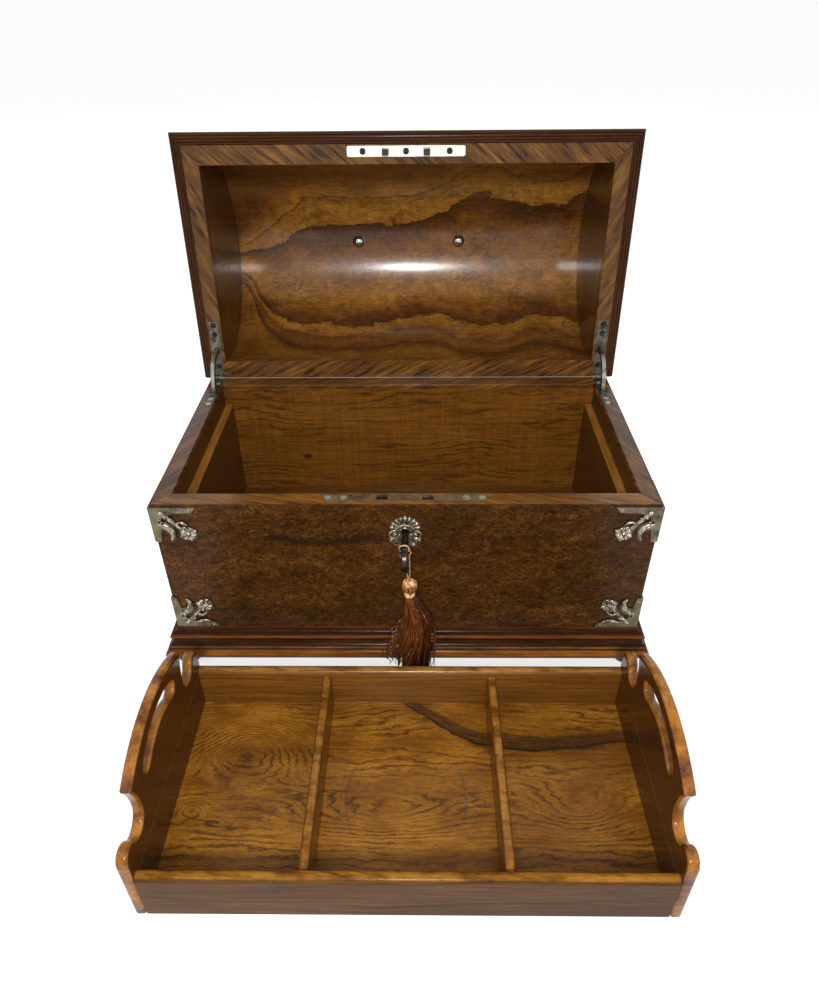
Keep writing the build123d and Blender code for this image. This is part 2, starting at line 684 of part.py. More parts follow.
with BuildPart() as case_leaf_left:
    slab(LEAF_X_SPAN, (HALF_DEPTH - LEAF_LENGTH, HALF_DEPTH), (RIM_HEIGHT - LEAF_THICKNESS, RIM_HEIGHT))
    for span in KNUCKLE_SPANS:
        barrel_recess(BARREL_RADIUS, span, mode=Mode.ADD)
    barrel_recess(BARREL_RECESS, MIDDLE_RECESS)
    barrel_recess(PIN_RADIUS, (LEAF_INNER, LEAF_OUTER))
    stay_slot(-STAY_TAIL, 2 * STAY_TAIL)
    screws(CASE_LEAF_SPOTS, mode=Mode.SUBTRACT)
with BuildPart() as case_leaf_right:
    mirror(case_leaf_left.part, about=Plane.YZ)
save(case_leaf_left, "hinge_leaf_case_left")
save(case_leaf_right, "hinge_leaf_case_right")

with BuildPart() as lid_leaf_left:
    lid_slab(LEAF_X_SPAN, (0, LEAF_LENGTH), LID_LEAF_IN)
    for span in OUTER_RECESSES:
        barrel_recess(BARREL_RECESS, span)
    barrel_recess(BARREL_RADIUS, MIDDLE_KNUCKLE, mode=Mode.ADD)
    barrel_recess(PIN_RADIUS + PIN_FIT, (LEAF_INNER, LEAF_OUTER))
    stay_slot(OPEN_ANGLE - STAY_TAIL, 2 * STAY_TAIL)
    screws(LID_LEAF_SPOTS, mode=Mode.SUBTRACT)
with BuildPart() as lid_leaf_right:
    mirror(lid_leaf_left.part, about=Plane.YZ)
save(lid_leaf_left, "hinge_leaf_lid_left")
save(lid_leaf_right, "hinge_leaf_lid_right")

with BuildPart() as hinge_pins:
    for start in (LEAF_INNER, -LEAF_OUTER):
        barrel_recess(PIN_RADIUS, (start, start + LEAF_WIDTH), mode=Mode.ADD)
save(hinge_pins, "hinge_pins")

with BuildPart() as case_screws_left:
    screws(CASE_LEAF_SPOTS)
with BuildPart() as case_screws:
    add(case_screws_left.part)
    mirror(case_screws_left.part, about=Plane.YZ)
    screws(SELVEDGE_SPOTS)
save(case_screws, "case_screws")

with BuildPart() as stay_left:
    with BuildSketch(CASE_SECTION.offset(LEAF_X - STAY_THICKNESS / 2)) as stay_outline:
        add(arc_band(STAY_IN, STAY_OUT, -STAY_TAIL, STAY_ARC))
        for start in (-STAY_TAIL, OPEN_ANGLE + STAY_TAIL - STAY_LUG_ARC):
            add(arc_band(STAY_IN - STAY_LUG, STAY_OUT + STAY_LUG, start, STAY_LUG_ARC))
    extrude(amount=STAY_THICKNESS)
with BuildPart() as stay_right:
    mirror(stay_left.part, about=Plane.YZ)
save(stay_left, "stay_left")
save(stay_right, "stay_right")


# Lid: frame, moulding, two end panels, the barrel and the veneers
LID_MIDDLE = HALF_DEPTH
LID_FRONT = CASE_DEPTH + LID_FRONT_OVERHANG
MOULDING_X = HALF_WIDTH + LID_OVERHANG
FRAME_X = MOULDING_X - MOULDING_WIDTH
FRAME_FRONT = LID_FRONT - MOULDING_WIDTH
LINK_UP = HALF_DEPTH - LOCK_Y
LINK_SPOTS = [
    lid_spot(x, LINK_UP, LID_GAP, LID.z_dir) for x in (-LINK_PLATE_SCREW, 0, LINK_PLATE_SCREW)
]


def barrel_section(radius):
    """A stilted half circle, in the lid's own up and inward directions."""
    low, high = LID_MIDDLE - radius, LID_MIDDLE + radius
    with BuildSketch(Plane.XY) as section:
        with BuildLine():
            Polyline((low, DOME_SPRING), (low, FRAME_BACK), (high, FRAME_BACK), (high, DOME_SPRING))
            ThreePointArc((high, DOME_SPRING), (LID_MIDDLE, DOME_SPRING + radius), (low, DOME_SPRING))
        make_face()
    return section.sketch


def lid_barrel(outer, inner, x_span, mode=Mode.ADD):
    """The stilted half circle run across the lid, hollow where an inner radius is given."""
    with BuildSketch(LID_SECTION.offset(-x_span[1])) as outline:
        add(barrel_section(outer))
        if inner > 0:
            add(barrel_section(inner), mode=Mode.SUBTRACT)
    extrude(outline.sketch, amount=x_span[1] - x_span[0], mode=mode)


def link_outline(depth_span, mode=Mode.ADD):
    """The link plate's bar, its corners softened."""
    with BuildSketch(LID.offset(-depth_span[1])) as outline:
        with Locations((0, LINK_UP)):
            RectangleRounded(LINK_PLATE_LENGTH, LINK_PLATE_WIDTH, LINK_PLATE_CORNER)
    extrude(outline.sketch, amount=depth_span[1] - depth_span[0], mode=mode)


def moulding_profile():
    """Half-round nose and flat band of the lid's edge moulding."""
    nose = LID_FRAME_THICKNESS / 2
    with BuildSketch(Plane.XY) as profile:
        with BuildLine():
            Polyline(
                (-nose, -LID_GAP),
                (-MOULDING_WIDTH + 0.6, -LID_GAP),
                (-MOULDING_WIDTH, -LID_GAP - 0.6),
                (-MOULDING_WIDTH, -FRAME_BACK),
                (-nose, -FRAME_BACK),
            )
            ThreePointArc((-nose, -FRAME_BACK), (0, -LID_GAP - nose), (-nose, -LID_GAP))
        make_face()
    return profile.sketch


def lid_leaf_recess():
    """The left leaf's bed in the lid, with its barrel, screws and stay."""
    lid_slab(LEAF_X_SPAN, (0, LEAF_LENGTH), (-1, LID_LEAF_IN[1]), mode=Mode.SUBTRACT)
    barrel_recess(BARREL_RECESS, (LEAF_INNER - KNUCKLE_GAP, LEAF_OUTER + KNUCKLE_GAP))
    stay_pocket(OPEN_ANGLE - 5, POCKET_ARC + 5)
    screws(LID_LEAF_SPOTS, mode=Mode.SUBTRACT)


with BuildPart() as lid_frame_half:
    lid_slab((-FRAME_X, 0), (0, FRAME_FRONT), (LID_GAP, FRAME_BACK))
    lid_slab((-LID_INSIDE_X, 0), LID_OPENING, (LID_GAP, FRAME_BACK), mode=Mode.SUBTRACT)
    lid_leaf_recess()
    link_outline((-1, LID_LEAF_IN[1]), mode=Mode.SUBTRACT)
    screws(LINK_SPOTS, mode=Mode.SUBTRACT)
with BuildPart() as lid_frame:
    add(lid_frame_half.part)
    mirror(lid_frame_half.part, about=Plane.YZ)
save(lid_frame, "lid_frame")

MOULDING_TAIL = 2 * MOULDING_WIDTH
MOULDING_HALF = (MOULDING_X, (LID_FRONT + MOULDING_TAIL) / 2)
MOULDING_CENTRE = (0, (LID_FRONT - MOULDING_TAIL) / 2)
for side_name, side in (("front", BACK), ("right", RIGHT), ("left", LEFT)):
    moulding = frame_member(LID, MOULDING_CENTRE, MOULDING_HALF, side, moulding_profile())
    with BuildPart() as lid_moulding:
        add(moulding.part)
        lid_slab((-CASE_WIDTH, CASE_WIDTH), (-2 * MOULDING_TAIL, 0), (-1, FRAME_BACK + 1), mode=Mode.SUBTRACT)
        for start in (LEAF_INNER - KNUCKLE_GAP, -LEAF_OUTER - KNUCKLE_GAP):
            barrel_recess(BARREL_RECESS, (start, start + LEAF_WIDTH + 2 * KNUCKLE_GAP))
    save(lid_moulding, f"lid_moulding_{side_name}")

SHELL_RADIUS = DOME_RADIUS - VENEER
with BuildPart() as lid_end_left:
    lid_barrel(SHELL_RADIUS, 0, (-WALL_X, -LID_INSIDE_X))
    stay_pocket(OPEN_ANGLE, POCKET_ARC)
with BuildPart() as lid_end_right:
    mirror(lid_end_left.part, about=Plane.YZ)
save(lid_end_left, "lid_end_left")
save(lid_end_right, "lid_end_right")

POST_SPOTS = [
    lid_spot(sign * POST_SPACING / 2, LID_MIDDLE, LID_HEIGHT, LID_IN) for sign in (-1, 1)
]


def post_holes():
    """The holes for the handle's two shanks."""
    with Locations(*POST_SPOTS):
        Cylinder(POST_SHANK_RADIUS, 3 * DOME_THICKNESS, mode=Mode.SUBTRACT)


with BuildPart() as lid_dome:
    lid_barrel(SHELL_RADIUS, SHELL_RADIUS - DOME_THICKNESS, (-LID_INSIDE_X, LID_INSIDE_X))
    post_holes()
save(lid_dome, "lid_dome")

with BuildPart() as lid_veneers:
    lid_barrel(DOME_RADIUS, SHELL_RADIUS, (-WALL_X, WALL_X))
    post_holes()
    for x_span in ((-HALF_WIDTH, -WALL_X), (WALL_X, HALF_WIDTH)):
        lid_barrel(DOME_RADIUS, 0, x_span)
save(lid_veneers, "lid_veneers")

with BuildPart() as link_plate:
    link_outline(LID_LEAF_IN)
    for sign in (-1, 1):
        x_span = (sign * STAPLE_X - STAPLE_SIZE / 2, sign * STAPLE_X + STAPLE_SIZE / 2)
        lid_slab(
            x_span,
            (LINK_UP - STAPLE_SIZE / 2, LINK_UP + STAPLE_SIZE / 2),
            (LID_GAP - STAPLE_DROP, LID_GAP),
        )
        eye_low = LID_GAP - STAPLE_DROP + STAPLE_WALL
        lid_slab(
            x_span,
            (LINK_UP - STAPLE_EYE_WIDTH / 2, LINK_UP + STAPLE_EYE_WIDTH / 2),
            (eye_low, eye_low + STAPLE_EYE),
            mode=Mode.SUBTRACT,
        )
    screws(LINK_SPOTS, mode=Mode.SUBTRACT)
save(link_plate, "link_plate")

with BuildPart() as lid_screws_left:
    screws(LID_LEAF_SPOTS)
with BuildPart() as lid_screws:
    add(lid_screws_left.part)
    mirror(lid_screws_left.part, about=Plane.YZ)
    screws(LINK_SPOTS)
save(lid_screws, "lid_screws")


# Carrying handle on the dome: two posts, two nuts inside, and the bail
BALL_IN = LID_HEIGHT + POST_HEIGHT
EYE_AXIS = Plane(
    origin=LID.from_local_coords(Vector(0, LID_MIDDLE, -BALL_IN)), x_dir=(0, 1, 0), z_dir=(1, 0, 0)
)
SHANK_LENGTH = DOME_THICKNESS + VENEER + NUT_HEIGHT * 0.7
with BuildPart() as handle_posts:
    with Locations(*POST_SPOTS):
        with Locations((0, 0, -1)):
            Cylinder(ROSETTE_RADIUS, ROSETTE_THICKNESS + 1, align=STAND_UP)
        Cylinder(POST_STEM_RADIUS, POST_HEIGHT, align=STAND_UP)
        with Locations((0, 0, ROSETTE_THICKNESS)):
            Cone(ROSETTE_RADIUS * 0.6, POST_STEM_RADIUS, 3, align=STAND_UP)
        with Locations((0, 0, POST_HEIGHT)):
            Sphere(POST_BALL_RADIUS)
    lid_barrel(DOME_RADIUS, 0, (-POST_SPACING, POST_SPACING), mode=Mode.SUBTRACT)
    with Locations(*POST_SPOTS):
        Cylinder(POST_SHANK_RADIUS, SHANK_LENGTH, align=HANG_DOWN)
        Cylinder(POST_SHANK_RADIUS, 1, align=STAND_UP)
    with Locations(EYE_AXIS.location):
        Cylinder(BAIL_PIN_RADIUS + BAIL_PIN_FIT, POST_SPACING + 4 * POST_BALL_RADIUS, mode=Mode.SUBTRACT)
save(handle_posts, "handle_posts")

with BuildPart() as handle_nuts:
    with Locations(*POST_SPOTS):
        with Locations((0, 0, -DOME_THICKNESS - VENEER)):
            Cylinder(NUT_RADIUS, NUT_HEIGHT * 0.55, align=HANG_DOWN)
            with Locations((0, 0, -NUT_HEIGHT * 0.55)):
                Cone(NUT_RADIUS * 0.45, NUT_RADIUS, NUT_HEIGHT * 0.45, align=HANG_DOWN)
    add(lid_dome.part, mode=Mode.SUBTRACT)
    with Locations(*POST_SPOTS):
        Cylinder(POST_SHANK_RADIUS, SHANK_LENGTH, align=HANG_DOWN, mode=Mode.SUBTRACT)
save(handle_nuts, "handle_nuts")

BAIL_PLANE = Plane(origin=EYE_AXIS.origin, x_dir=(1, 0, 0), z_dir=(0, -1, 0))
with BuildPart() as handle_bail:
    with BuildLine(BAIL_PLANE) as bail_path:
        FilletPolyline(
            (-BAIL_HALF_WIDTH, 0),
            (-BAIL_HALF_WIDTH, -BAIL_DROP * 0.5),
            (-BAIL_HALF_WIDTH * 0.72, -BAIL_DROP),
            (BAIL_HALF_WIDTH * 0.72, -BAIL_DROP),
            (BAIL_HALF_WIDTH, -BAIL_DROP * 0.5),
            (BAIL_HALF_WIDTH, 0),
            radius=7,
        )
    with BuildSketch(Plane(origin=bail_path.line @ 0, z_dir=bail_path.line % 0)):
        Circle(BAIL_WIRE_RADIUS)
    sweep()
    with BuildSketch(BAIL_PLANE) as grip_section:
        with BuildLine():
            Line((-22, -BAIL_DROP), (22, -BAIL_DROP))
            Line((-22, -BAIL_DROP), (-22, -BAIL_DROP + BAIL_WIRE_RADIUS))
            Line((22, -BAIL_DROP), (22, -BAIL_DROP + BAIL_WIRE_RADIUS))
            ThreePointArc(
                (-22, -BAIL_DROP + BAIL_WIRE_RADIUS),
                (0, -BAIL_DROP + BAIL_GRIP_RADIUS),
                (22, -BAIL_DROP + BAIL_WIRE_RADIUS),
            )
        make_face()
    revolve(axis=Axis(BAIL_PLANE.from_local_coords(Vector(0, -BAIL_DROP, 0)), (1, 0, 0)))
    for sign in (-1, 1):
        with Locations(BAIL_PLANE.from_local_coords(Vector(sign * BAIL_HALF_WIDTH, 0, 0))):
            Sphere(BAIL_WIRE_RADIUS + 0.3)
        pin_centre = sign * (BAIL_HALF_WIDTH + BAIL_PIN_LENGTH / 2)
        with Locations(EYE_AXIS.offset(pin_centre).location):
            Cylinder(BAIL_PIN_RADIUS, BAIL_PIN_LENGTH)
save(handle_bail, "handle_bail")


# Key, standing in the lock: pipe, bit, two collars and an oval bow
KEY_TIP_Y = INNER_BACK - 0.4
NECK_Y = -HALF_DEPTH - KEY_SHANK_REACH + 2.5
COLLAR_RADIUS = KEY_SHANK_RADIUS + 0.9
COLLAR_WIDTH = 1.6
NECK_HALF = 1.0


def key_disc(radius, start_y, end_y, mode=Mode.ADD):
    """A round length of the key between two distances, the first nearer the back."""
    with BuildSketch(Plane.XZ.offset(-start_y)) as outline:
        with Locations((0, KEY_Z)):
            Circle(radius)
    extrude(outline.sketch, amount=start_y - end_y, mode=mode)


BOW_Y = NECK_Y - NECK_HALF - COLLAR_WIDTH - BOW_LENGTH / 2 + BOW_SINK
with BuildPart() as bow:
    with BuildSketch(Plane(origin=(-BOW_THICKNESS / 2, BOW_Y, KEY_Z), x_dir=(0, 1, 0), z_dir=(1, 0, 0))):
        Ellipse(BOW_LENGTH / 2, BOW_HEIGHT / 2)
        Ellipse(BOW_LENGTH / 2 - BOW_WIRE, BOW_HEIGHT / 2 - BOW_WIRE, mode=Mode.SUBTRACT)
    extrude(amount=BOW_THICKNESS)
    fillet(bow.edges(), radius=BOW_ROUNDING)

with BuildPart() as key:
    key_disc(KEY_SHANK_RADIUS, KEY_TIP_Y, NECK_Y + NECK_HALF)
    key_disc(KEY_NECK_RADIUS, NECK_Y + NECK_HALF, NECK_Y - NECK_HALF)
    key_disc(COLLAR_RADIUS, NECK_Y + NECK_HALF + COLLAR_WIDTH, NECK_Y + NECK_HALF)
    key_disc(COLLAR_RADIUS, NECK_Y - NECK_HALF, NECK_Y - NECK_HALF - COLLAR_WIDTH)
    slab(
        (-KEY_BIT_THICKNESS / 2, KEY_BIT_THICKNESS / 2),
        (LOCK_Y - 1.8, KEY_TIP_Y - 0.2),
        (KEY_Z - KEY_BIT_REACH, KEY_Z - KEY_SHANK_RADIUS * 0.6),
    )
    key_disc(DRILL_PIN_RADIUS + DRILL_PIN_FIT, KEY_TIP_Y, LOCK_FRONT - 1, mode=Mode.SUBTRACT)
    add(bow.part)
save(key, "key")


# Tassel: a cord looped round the key's neck, a bound head and a spreading skirt
CORD_LOOP = KEY_NECK_RADIUS + TASSEL_CORD_FIT + TASSEL_CORD_RADIUS
HEAD_TOP = KEY_Z - TASSEL_DROP
HEAD_LOW = HEAD_TOP - 20.0
SKIRT_Y = NECK_Y - 2.0
CORD_PLANE = Plane(origin=(0, NECK_Y, 0), x_dir=(1, 0, 0), z_dir=(0, -1, 0))
with BuildPart() as tassel_cord:
    with BuildLine(CORD_PLANE) as cord_path:
        Line((-CORD_LOOP, HEAD_TOP), (-CORD_LOOP, KEY_Z))
        ThreePointArc((-CORD_LOOP, KEY_Z), (0, KEY_Z + CORD_LOOP), (CORD_LOOP, KEY_Z))
        Line((CORD_LOOP, KEY_Z), (CORD_LOOP, HEAD_TOP))
    with BuildSketch(Plane(origin=cord_path.line @ 0, z_dir=cord_path.line % 0)):
        Circle(TASSEL_CORD_RADIUS)
    sweep()
save(tassel_cord, "tassel_cord")

with BuildPart() as tassel_head:
    with BuildSketch(CORD_PLANE):
        with BuildLine():
            Polyline((4.0, HEAD_TOP), (0, HEAD_TOP), (0, HEAD_LOW), (TASSEL_HEAD_RADIUS - 1, HEAD_LOW))
            ThreePointArc(
                (TASSEL_HEAD_RADIUS - 1, HEAD_LOW),
                (TASSEL_HEAD_RADIUS, (HEAD_TOP + HEAD_LOW) / 2),
                (4.0, HEAD_TOP),
            )
        make_face()
    revolve(axis=Axis((0, NECK_Y, 0), (0, 0, 1)))
save(tassel_head, "tassel_head")

SKIRT_MIDDLE = HEAD_LOW * 0.68
SKIRT_LEVELS = (
    (HEAD_LOW, TASSEL_HEAD_RADIUS - 0.9, TASSEL_HEAD_RADIUS - 0.9, 0),
    (SKIRT_MIDDLE, TASSEL_HALF_WIDTH * 0.62, TASSEL_HALF_DEPTH * 0.78, -0.8),
    (HEAD_LOW * 0.3, TASSEL_HALF_WIDTH, TASSEL_HALF_DEPTH, -2.0),
    (TASSEL_FLOOR_GAP, TASSEL_HALF_WIDTH * 0.93, TASSEL_HALF_DEPTH * 0.93, -2.0),
)
with BuildPart() as tassel_skirt:
    for height, half_width, half_depth, shift in SKIRT_LEVELS:
        with BuildSketch(Plane.XY.offset(height)):
            with Locations((0, NECK_Y + shift)):
                Ellipse(half_width, half_depth)
    loft(ruled=True)
save(tassel_skirt, "tassel_skirt")


# Escutcheon: a fan shell over a ribbon, scrolls at the sides and a leaf below
RAYS = 9
FACE = Plane.XZ.offset(HALF_DEPTH)
with BuildPart() as escutcheon:
    with BuildSketch(FACE):
        with Locations((0, KEY_Z + 4)):
            Circle(7.2)
        for index in range(RAYS):
            angle = radians(10 + 160 * index / (RAYS - 1))
            with Locations((9.0 * cos(angle), KEY_Z + 3.2 + 9.0 * sin(angle))):
                Circle(1.9)
        with Locations((0, KEY_Z - 3)):
            Ellipse(6.4, 9.0)
        for sign in (-1, 1):
            with Locations((sign * 7.8, KEY_Z - 5.5)):
                Circle(3.3)
            with Locations((sign * 6.2, KEY_Z + 0.5)):
                Circle(3.0)
            with Locations((sign * 4.2, KEY_Z - 10.5)):
                Circle(2.5)
        with Locations((0, KEY_Z - 12)):
            Ellipse(2.6, 3.6)
    extrude(amount=ESCUTCHEON_THICKNESS)
    keyhole(-HALF_DEPTH, -HALF_DEPTH - ESCUTCHEON_THICKNESS)
save(escutcheon, "escutcheon")


# Corner mounts: an angle plate round the corner, arms, a flower and a curled leaf
TOP_EDGE = RIM_HEIGHT - 1.5
BOTTOM_EDGE = CARCASS_HEIGHT + PLINTH_LIP + 0.7


def corner_outline(edge_z, sign):
    """The left mount's front outline; sign is -1 below the rim and 1 above the plinth."""

    def spot(across, along):
        """A point at two shares of the mount's arms, from the corner."""
        return (-HALF_WIDTH + across * MOUNT_ARM, edge_z + sign * along * MOUNT_DROP)

    outer_x = -HALF_WIDTH - MOUNT_THICKNESS
    with BuildSketch(Plane.XY) as outline:
        with BuildLine():
            Polyline(
                (outer_x, edge_z),
                spot(1, 0),
                spot(0.89, 0.15),
                spot(0.46, 0.17),
                spot(0.22, 0.29),
                (-HALF_WIDTH + MOUNT_ARM_WIDTH, edge_z + sign * MOUNT_DROP / 2),
                spot(0.11, 1),
                (outer_x, edge_z + sign * MOUNT_DROP),
                close=True,
            )
        make_face()
        with Locations(spot(0.74, 0.76)):
            Circle(FLOWER_RADIUS * 0.77)
            with PolarLocations(FLOWER_RADIUS * 0.74, FLOWER_PETALS):
                Circle(FLOWER_RADIUS * 0.27)
        with BuildLine():
            Polyline(spot(0.19, 0.17), spot(0.32, 0.14), spot(0.7, 0.66), spot(0.6, 0.73), close=True)
        make_face()
        with BuildLine():
            ThreePointArc(spot(0.13, 0.41), spot(0.46, 0.64), spot(0.365, 0.97))
            ThreePointArc(spot(0.365, 0.97), spot(0.285, 0.68), spot(0.11, 0.64))
            Line(spot(0.11, 0.64), spot(0.13, 0.41))
        make_face()
    return outline.sketch


CORNER = Plane(origin=(-HALF_WIDTH, -HALF_DEPTH, 0), z_dir=(1, -1, 0))
for level, edge_z, sign in (("top", TOP_EDGE, -1), ("bottom", BOTTOM_EDGE, 1)):
    outline = corner_outline(edge_z, sign)
    with BuildPart() as corner_front:
        with BuildSketch(FACE):
            add(outline)
        extrude(amount=MOUNT_THICKNESS)
    with BuildPart() as corner_left:
        add(corner_front.part)
        mirror(corner_front.part, about=CORNER)
    with BuildPart() as corner_right:
        mirror(corner_left.part, about=Plane.YZ)
    save(corner_left, f"corner_mount_{level}_left")
    save(corner_right, f"corner_mount_{level}_right")


# Tray: galleried ends, round-topped front and back, floor and two dividers
TRAY_HALF = TRAY_DEPTH / 2
TRAY_INNER_X = TRAY_WIDTH / 2 - TRAY_BOARD
TRAY_INNER_Y = TRAY_HALF - TRAY_BOARD


def round_topped(thickness, height):
    """A board's section with a fully rounded top edge."""
    with BuildSketch(Plane.XY) as section:
        with Locations((0, (height - thickness / 2) / 2)):
            Rectangle(thickness, height - thickness / 2)
        with Locations((0, height - thickness / 2)):
            Circle(thickness / 2)
    return section.sketch


def gallery_outline():
    """The tray end: lobed shoulders, a waisted neck, an arched top and a curved hand hole."""
    lobe_z = GALLERY_LOBE_HEIGHT - GALLERY_LOBE
    lobe_end = (TRAY_HALF - GALLERY_LOBE * 1.8, lobe_z + GALLERY_LOBE * 0.6)
    with BuildSketch(Plane.XY) as outline:
        with BuildLine():
            Polyline((-TRAY_HALF, lobe_z), (-TRAY_HALF, 0), (TRAY_HALF, 0), (TRAY_HALF, lobe_z))
            for side in (-1, 1):
                ThreePointArc(
                    (side * TRAY_HALF, lobe_z),
                    (side * (TRAY_HALF - GALLERY_LOBE), GALLERY_LOBE_HEIGHT),
                    (side * lobe_end[0], lobe_end[1]),
                )
                ThreePointArc(
                    (side * lobe_end[0], lobe_end[1]),
                    (side * (GALLERY_NECK + GALLERY_HOLLOW_WIDTH), GALLERY_HOLLOW_HEIGHT),
                    (side * GALLERY_NECK, GALLERY_HOLLOW_HEIGHT + GALLERY_HOLLOW_WIDTH),
                )
                ThreePointArc(
                    (side * GALLERY_NECK, GALLERY_HOLLOW_HEIGHT + GALLERY_HOLLOW_WIDTH),
                    (side * (GALLERY_NECK + 0.8), (GALLERY_HOLLOW_HEIGHT + GALLERY_CUSP_HEIGHT) / 2 + 3),
                    (side * GALLERY_CUSP, GALLERY_CUSP_HEIGHT),
                )
            ThreePointArc(
                (-GALLERY_CUSP, GALLERY_CUSP_HEIGHT), (0, GALLERY_HEIGHT), (GALLERY_CUSP, GALLERY_CUSP_HEIGHT)
            )
        make_face()
        grip_path = ThreePointArc(
            (-GRIP_HALF_SPAN, GRIP_LOW), (0, GRIP_HIGH), (GRIP_HALF_SPAN, GRIP_LOW), mode=Mode.PRIVATE
        )
        SlotArc(grip_path, GRIP_WIDTH, mode=Mode.SUBTRACT)
    return outline.sketch


for side_name, start in (("left", TRAY_X - TRAY_WIDTH / 2), ("right", TRAY_X + TRAY_INNER_X)):
    with BuildPart() as tray_end:
        with BuildSketch(Plane(origin=(start, TRAY_Y, 0), x_dir=(0, 1, 0), z_dir=(1, 0, 0))):
            add(gallery_outline())
        extrude(amount=TRAY_BOARD)
        rounded = tray_end.edges().filter_by(lambda edge: edge.bounding_box().max.Z > 1)
        rounded = rounded.filter_by(Axis.X, reverse=True).filter_by(Axis.Z, reverse=True)
        fillet(rounded, radius=GALLERY_ROUNDING)
    save(tray_end, f"tray_end_{side_name}")

for side_name, sign in (("front", -1), ("back", 1)):
    middle = TRAY_Y + sign * (TRAY_HALF - TRAY_BOARD / 2)
    with BuildPart() as tray_rail:
        with BuildSketch(Plane(origin=(TRAY_X - TRAY_INNER_X, middle, 0), x_dir=(0, 1, 0), z_dir=(1, 0, 0))):
            add(round_topped(TRAY_BOARD, TRAY_RAIL_HEIGHT))
        extrude(amount=2 * TRAY_INNER_X)
    save(tray_rail, f"tray_{side_name}")

with BuildPart() as tray_floor:
    slab(
        (TRAY_X - TRAY_INNER_X, TRAY_X + TRAY_INNER_X),
        (TRAY_Y - TRAY_INNER_Y, TRAY_Y + TRAY_INNER_Y),
        (1, TRAY_FLOOR),
    )
save(tray_floor, "tray_floor")

for side_name, middle in (("left", TRAY_X - TRAY_DIVIDER_X), ("right", TRAY_X + TRAY_DIVIDER_X)):
    back_end = (middle, TRAY_Y + TRAY_INNER_Y, TRAY_FLOOR)
    with BuildPart() as tray_divider:
        with BuildSketch(Plane(origin=back_end, x_dir=(1, 0, 0), z_dir=(0, -1, 0))):
            add(round_topped(TRAY_DIVIDER_THICKNESS, TRAY_DIVIDER_HEIGHT - TRAY_FLOOR))
        extrude(amount=2 * TRAY_INNER_Y)
    save(tray_divider, f"tray_divider_{side_name}")
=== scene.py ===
import bpy
import bmesh
import math
import random
from functools import partial
from mathutils import Matrix, Vector


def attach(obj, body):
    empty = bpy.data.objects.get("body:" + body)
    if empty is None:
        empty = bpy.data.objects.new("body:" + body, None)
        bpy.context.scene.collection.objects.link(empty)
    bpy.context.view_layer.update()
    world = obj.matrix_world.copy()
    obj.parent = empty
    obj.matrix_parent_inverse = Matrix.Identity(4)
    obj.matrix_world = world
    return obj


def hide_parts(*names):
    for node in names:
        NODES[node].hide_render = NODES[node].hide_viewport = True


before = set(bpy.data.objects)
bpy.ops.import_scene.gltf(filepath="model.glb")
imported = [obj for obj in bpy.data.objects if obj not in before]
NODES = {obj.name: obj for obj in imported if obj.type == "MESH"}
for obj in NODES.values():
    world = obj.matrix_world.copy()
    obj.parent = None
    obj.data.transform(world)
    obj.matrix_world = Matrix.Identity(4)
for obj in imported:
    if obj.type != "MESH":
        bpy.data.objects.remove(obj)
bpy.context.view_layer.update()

MM = 0.001
CASE_Y = 27.492 * MM

# Measures of the part, in millimetres from the case's centre
HALF_WIDTH = 173.5
HALF_DEPTH = 95.0
RIM_Z = 150.0
KEY_Z = 127.0

# The photograph's camera
PHOTO_PIXELS = 1000
FOCAL_PIXELS = 742.4
SENSOR = 36.0
CAMERA_ANGLES = (-0.967, 35.86, -0.615)
CAMERA_SPOT = (9.69, -497.8, 445.35)


# Camera: the viewpoint of the photograph, which is 818 by 1000 pixels
def place_camera():
    yaw, pitch, roll = (math.radians(angle) for angle in CAMERA_ANGLES)
    forward = Vector((math.sin(yaw) * math.cos(pitch), math.cos(yaw) * math.cos(pitch), -math.sin(pitch)))
    right = Vector((math.cos(yaw), -math.sin(yaw), 0))
    up = right.cross(forward)
    turned_right = math.cos(roll) * right + math.sin(roll) * up
    turned_up = -math.sin(roll) * right + math.cos(roll) * up
    data = bpy.data.cameras.new("camera")
    data.sensor_width = SENSOR
    data.lens = FOCAL_PIXELS / PHOTO_PIXELS * SENSOR
    data.clip_start = 0.01
    camera = bpy.data.objects.new("camera", data)
    bpy.context.collection.objects.link(camera)
    matrix = Matrix((turned_right, turned_up, -forward)).transposed().to_4x4()
    matrix.translation = place(*CAMERA_SPOT)
    camera.matrix_world = matrix
    bpy.context.scene.camera = camera


# Mesh tools: every shape is given in millimetres from the case's centre
SUNK = -0.25


def place(x, y, z):
    return Vector((x * MM, y * MM + CASE_Y, z * MM))


def add_piece(name, bm, material, body, replaced=()):
    """Turns a bmesh into a smooth-shaded piece that rides on a body."""
    bmesh.ops.recalc_face_normals(bm, faces=bm.faces)
    mesh = bpy.data.meshes.new(name)
    bm.to_mesh(mesh)
    bm.free()
    for polygon in mesh.polygons:
        polygon.use_smooth = True
    mesh.materials.append(material)
    piece = bpy.data.objects.new(name, mesh)
    bpy.context.collection.objects.link(piece)
    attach(piece, body)
    if replaced:
        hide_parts(*replaced)


def close_rings(bm, rings):
    """Joins rings of points into one closed skin."""
    count = len(rings[0])
    for lower, upper in zip(rings, rings[1:]):
        for index in range(count):
            following = (index + 1) % count
            bm.faces.new((lower[index], lower[following], upper[following], upper[index]))
    bm.faces.new(reversed(rings[0]))
    bm.faces.new(rings[-1])


def around(bm, sides, spot_at):
    """A ring of points; spot_at turns a cosine and a sine into a place."""
    angles = (2 * math.pi * step / sides for step in range(sides))
    return [bm.verts.new(place(*spot_at(math.cos(angle), math.sin(angle)))) for angle in angles]


def heading(path, index):
    """The way from the point before to the point after."""
    return path[min(index + 1, len(path) - 1)] - path[max(index - 1, 0)]


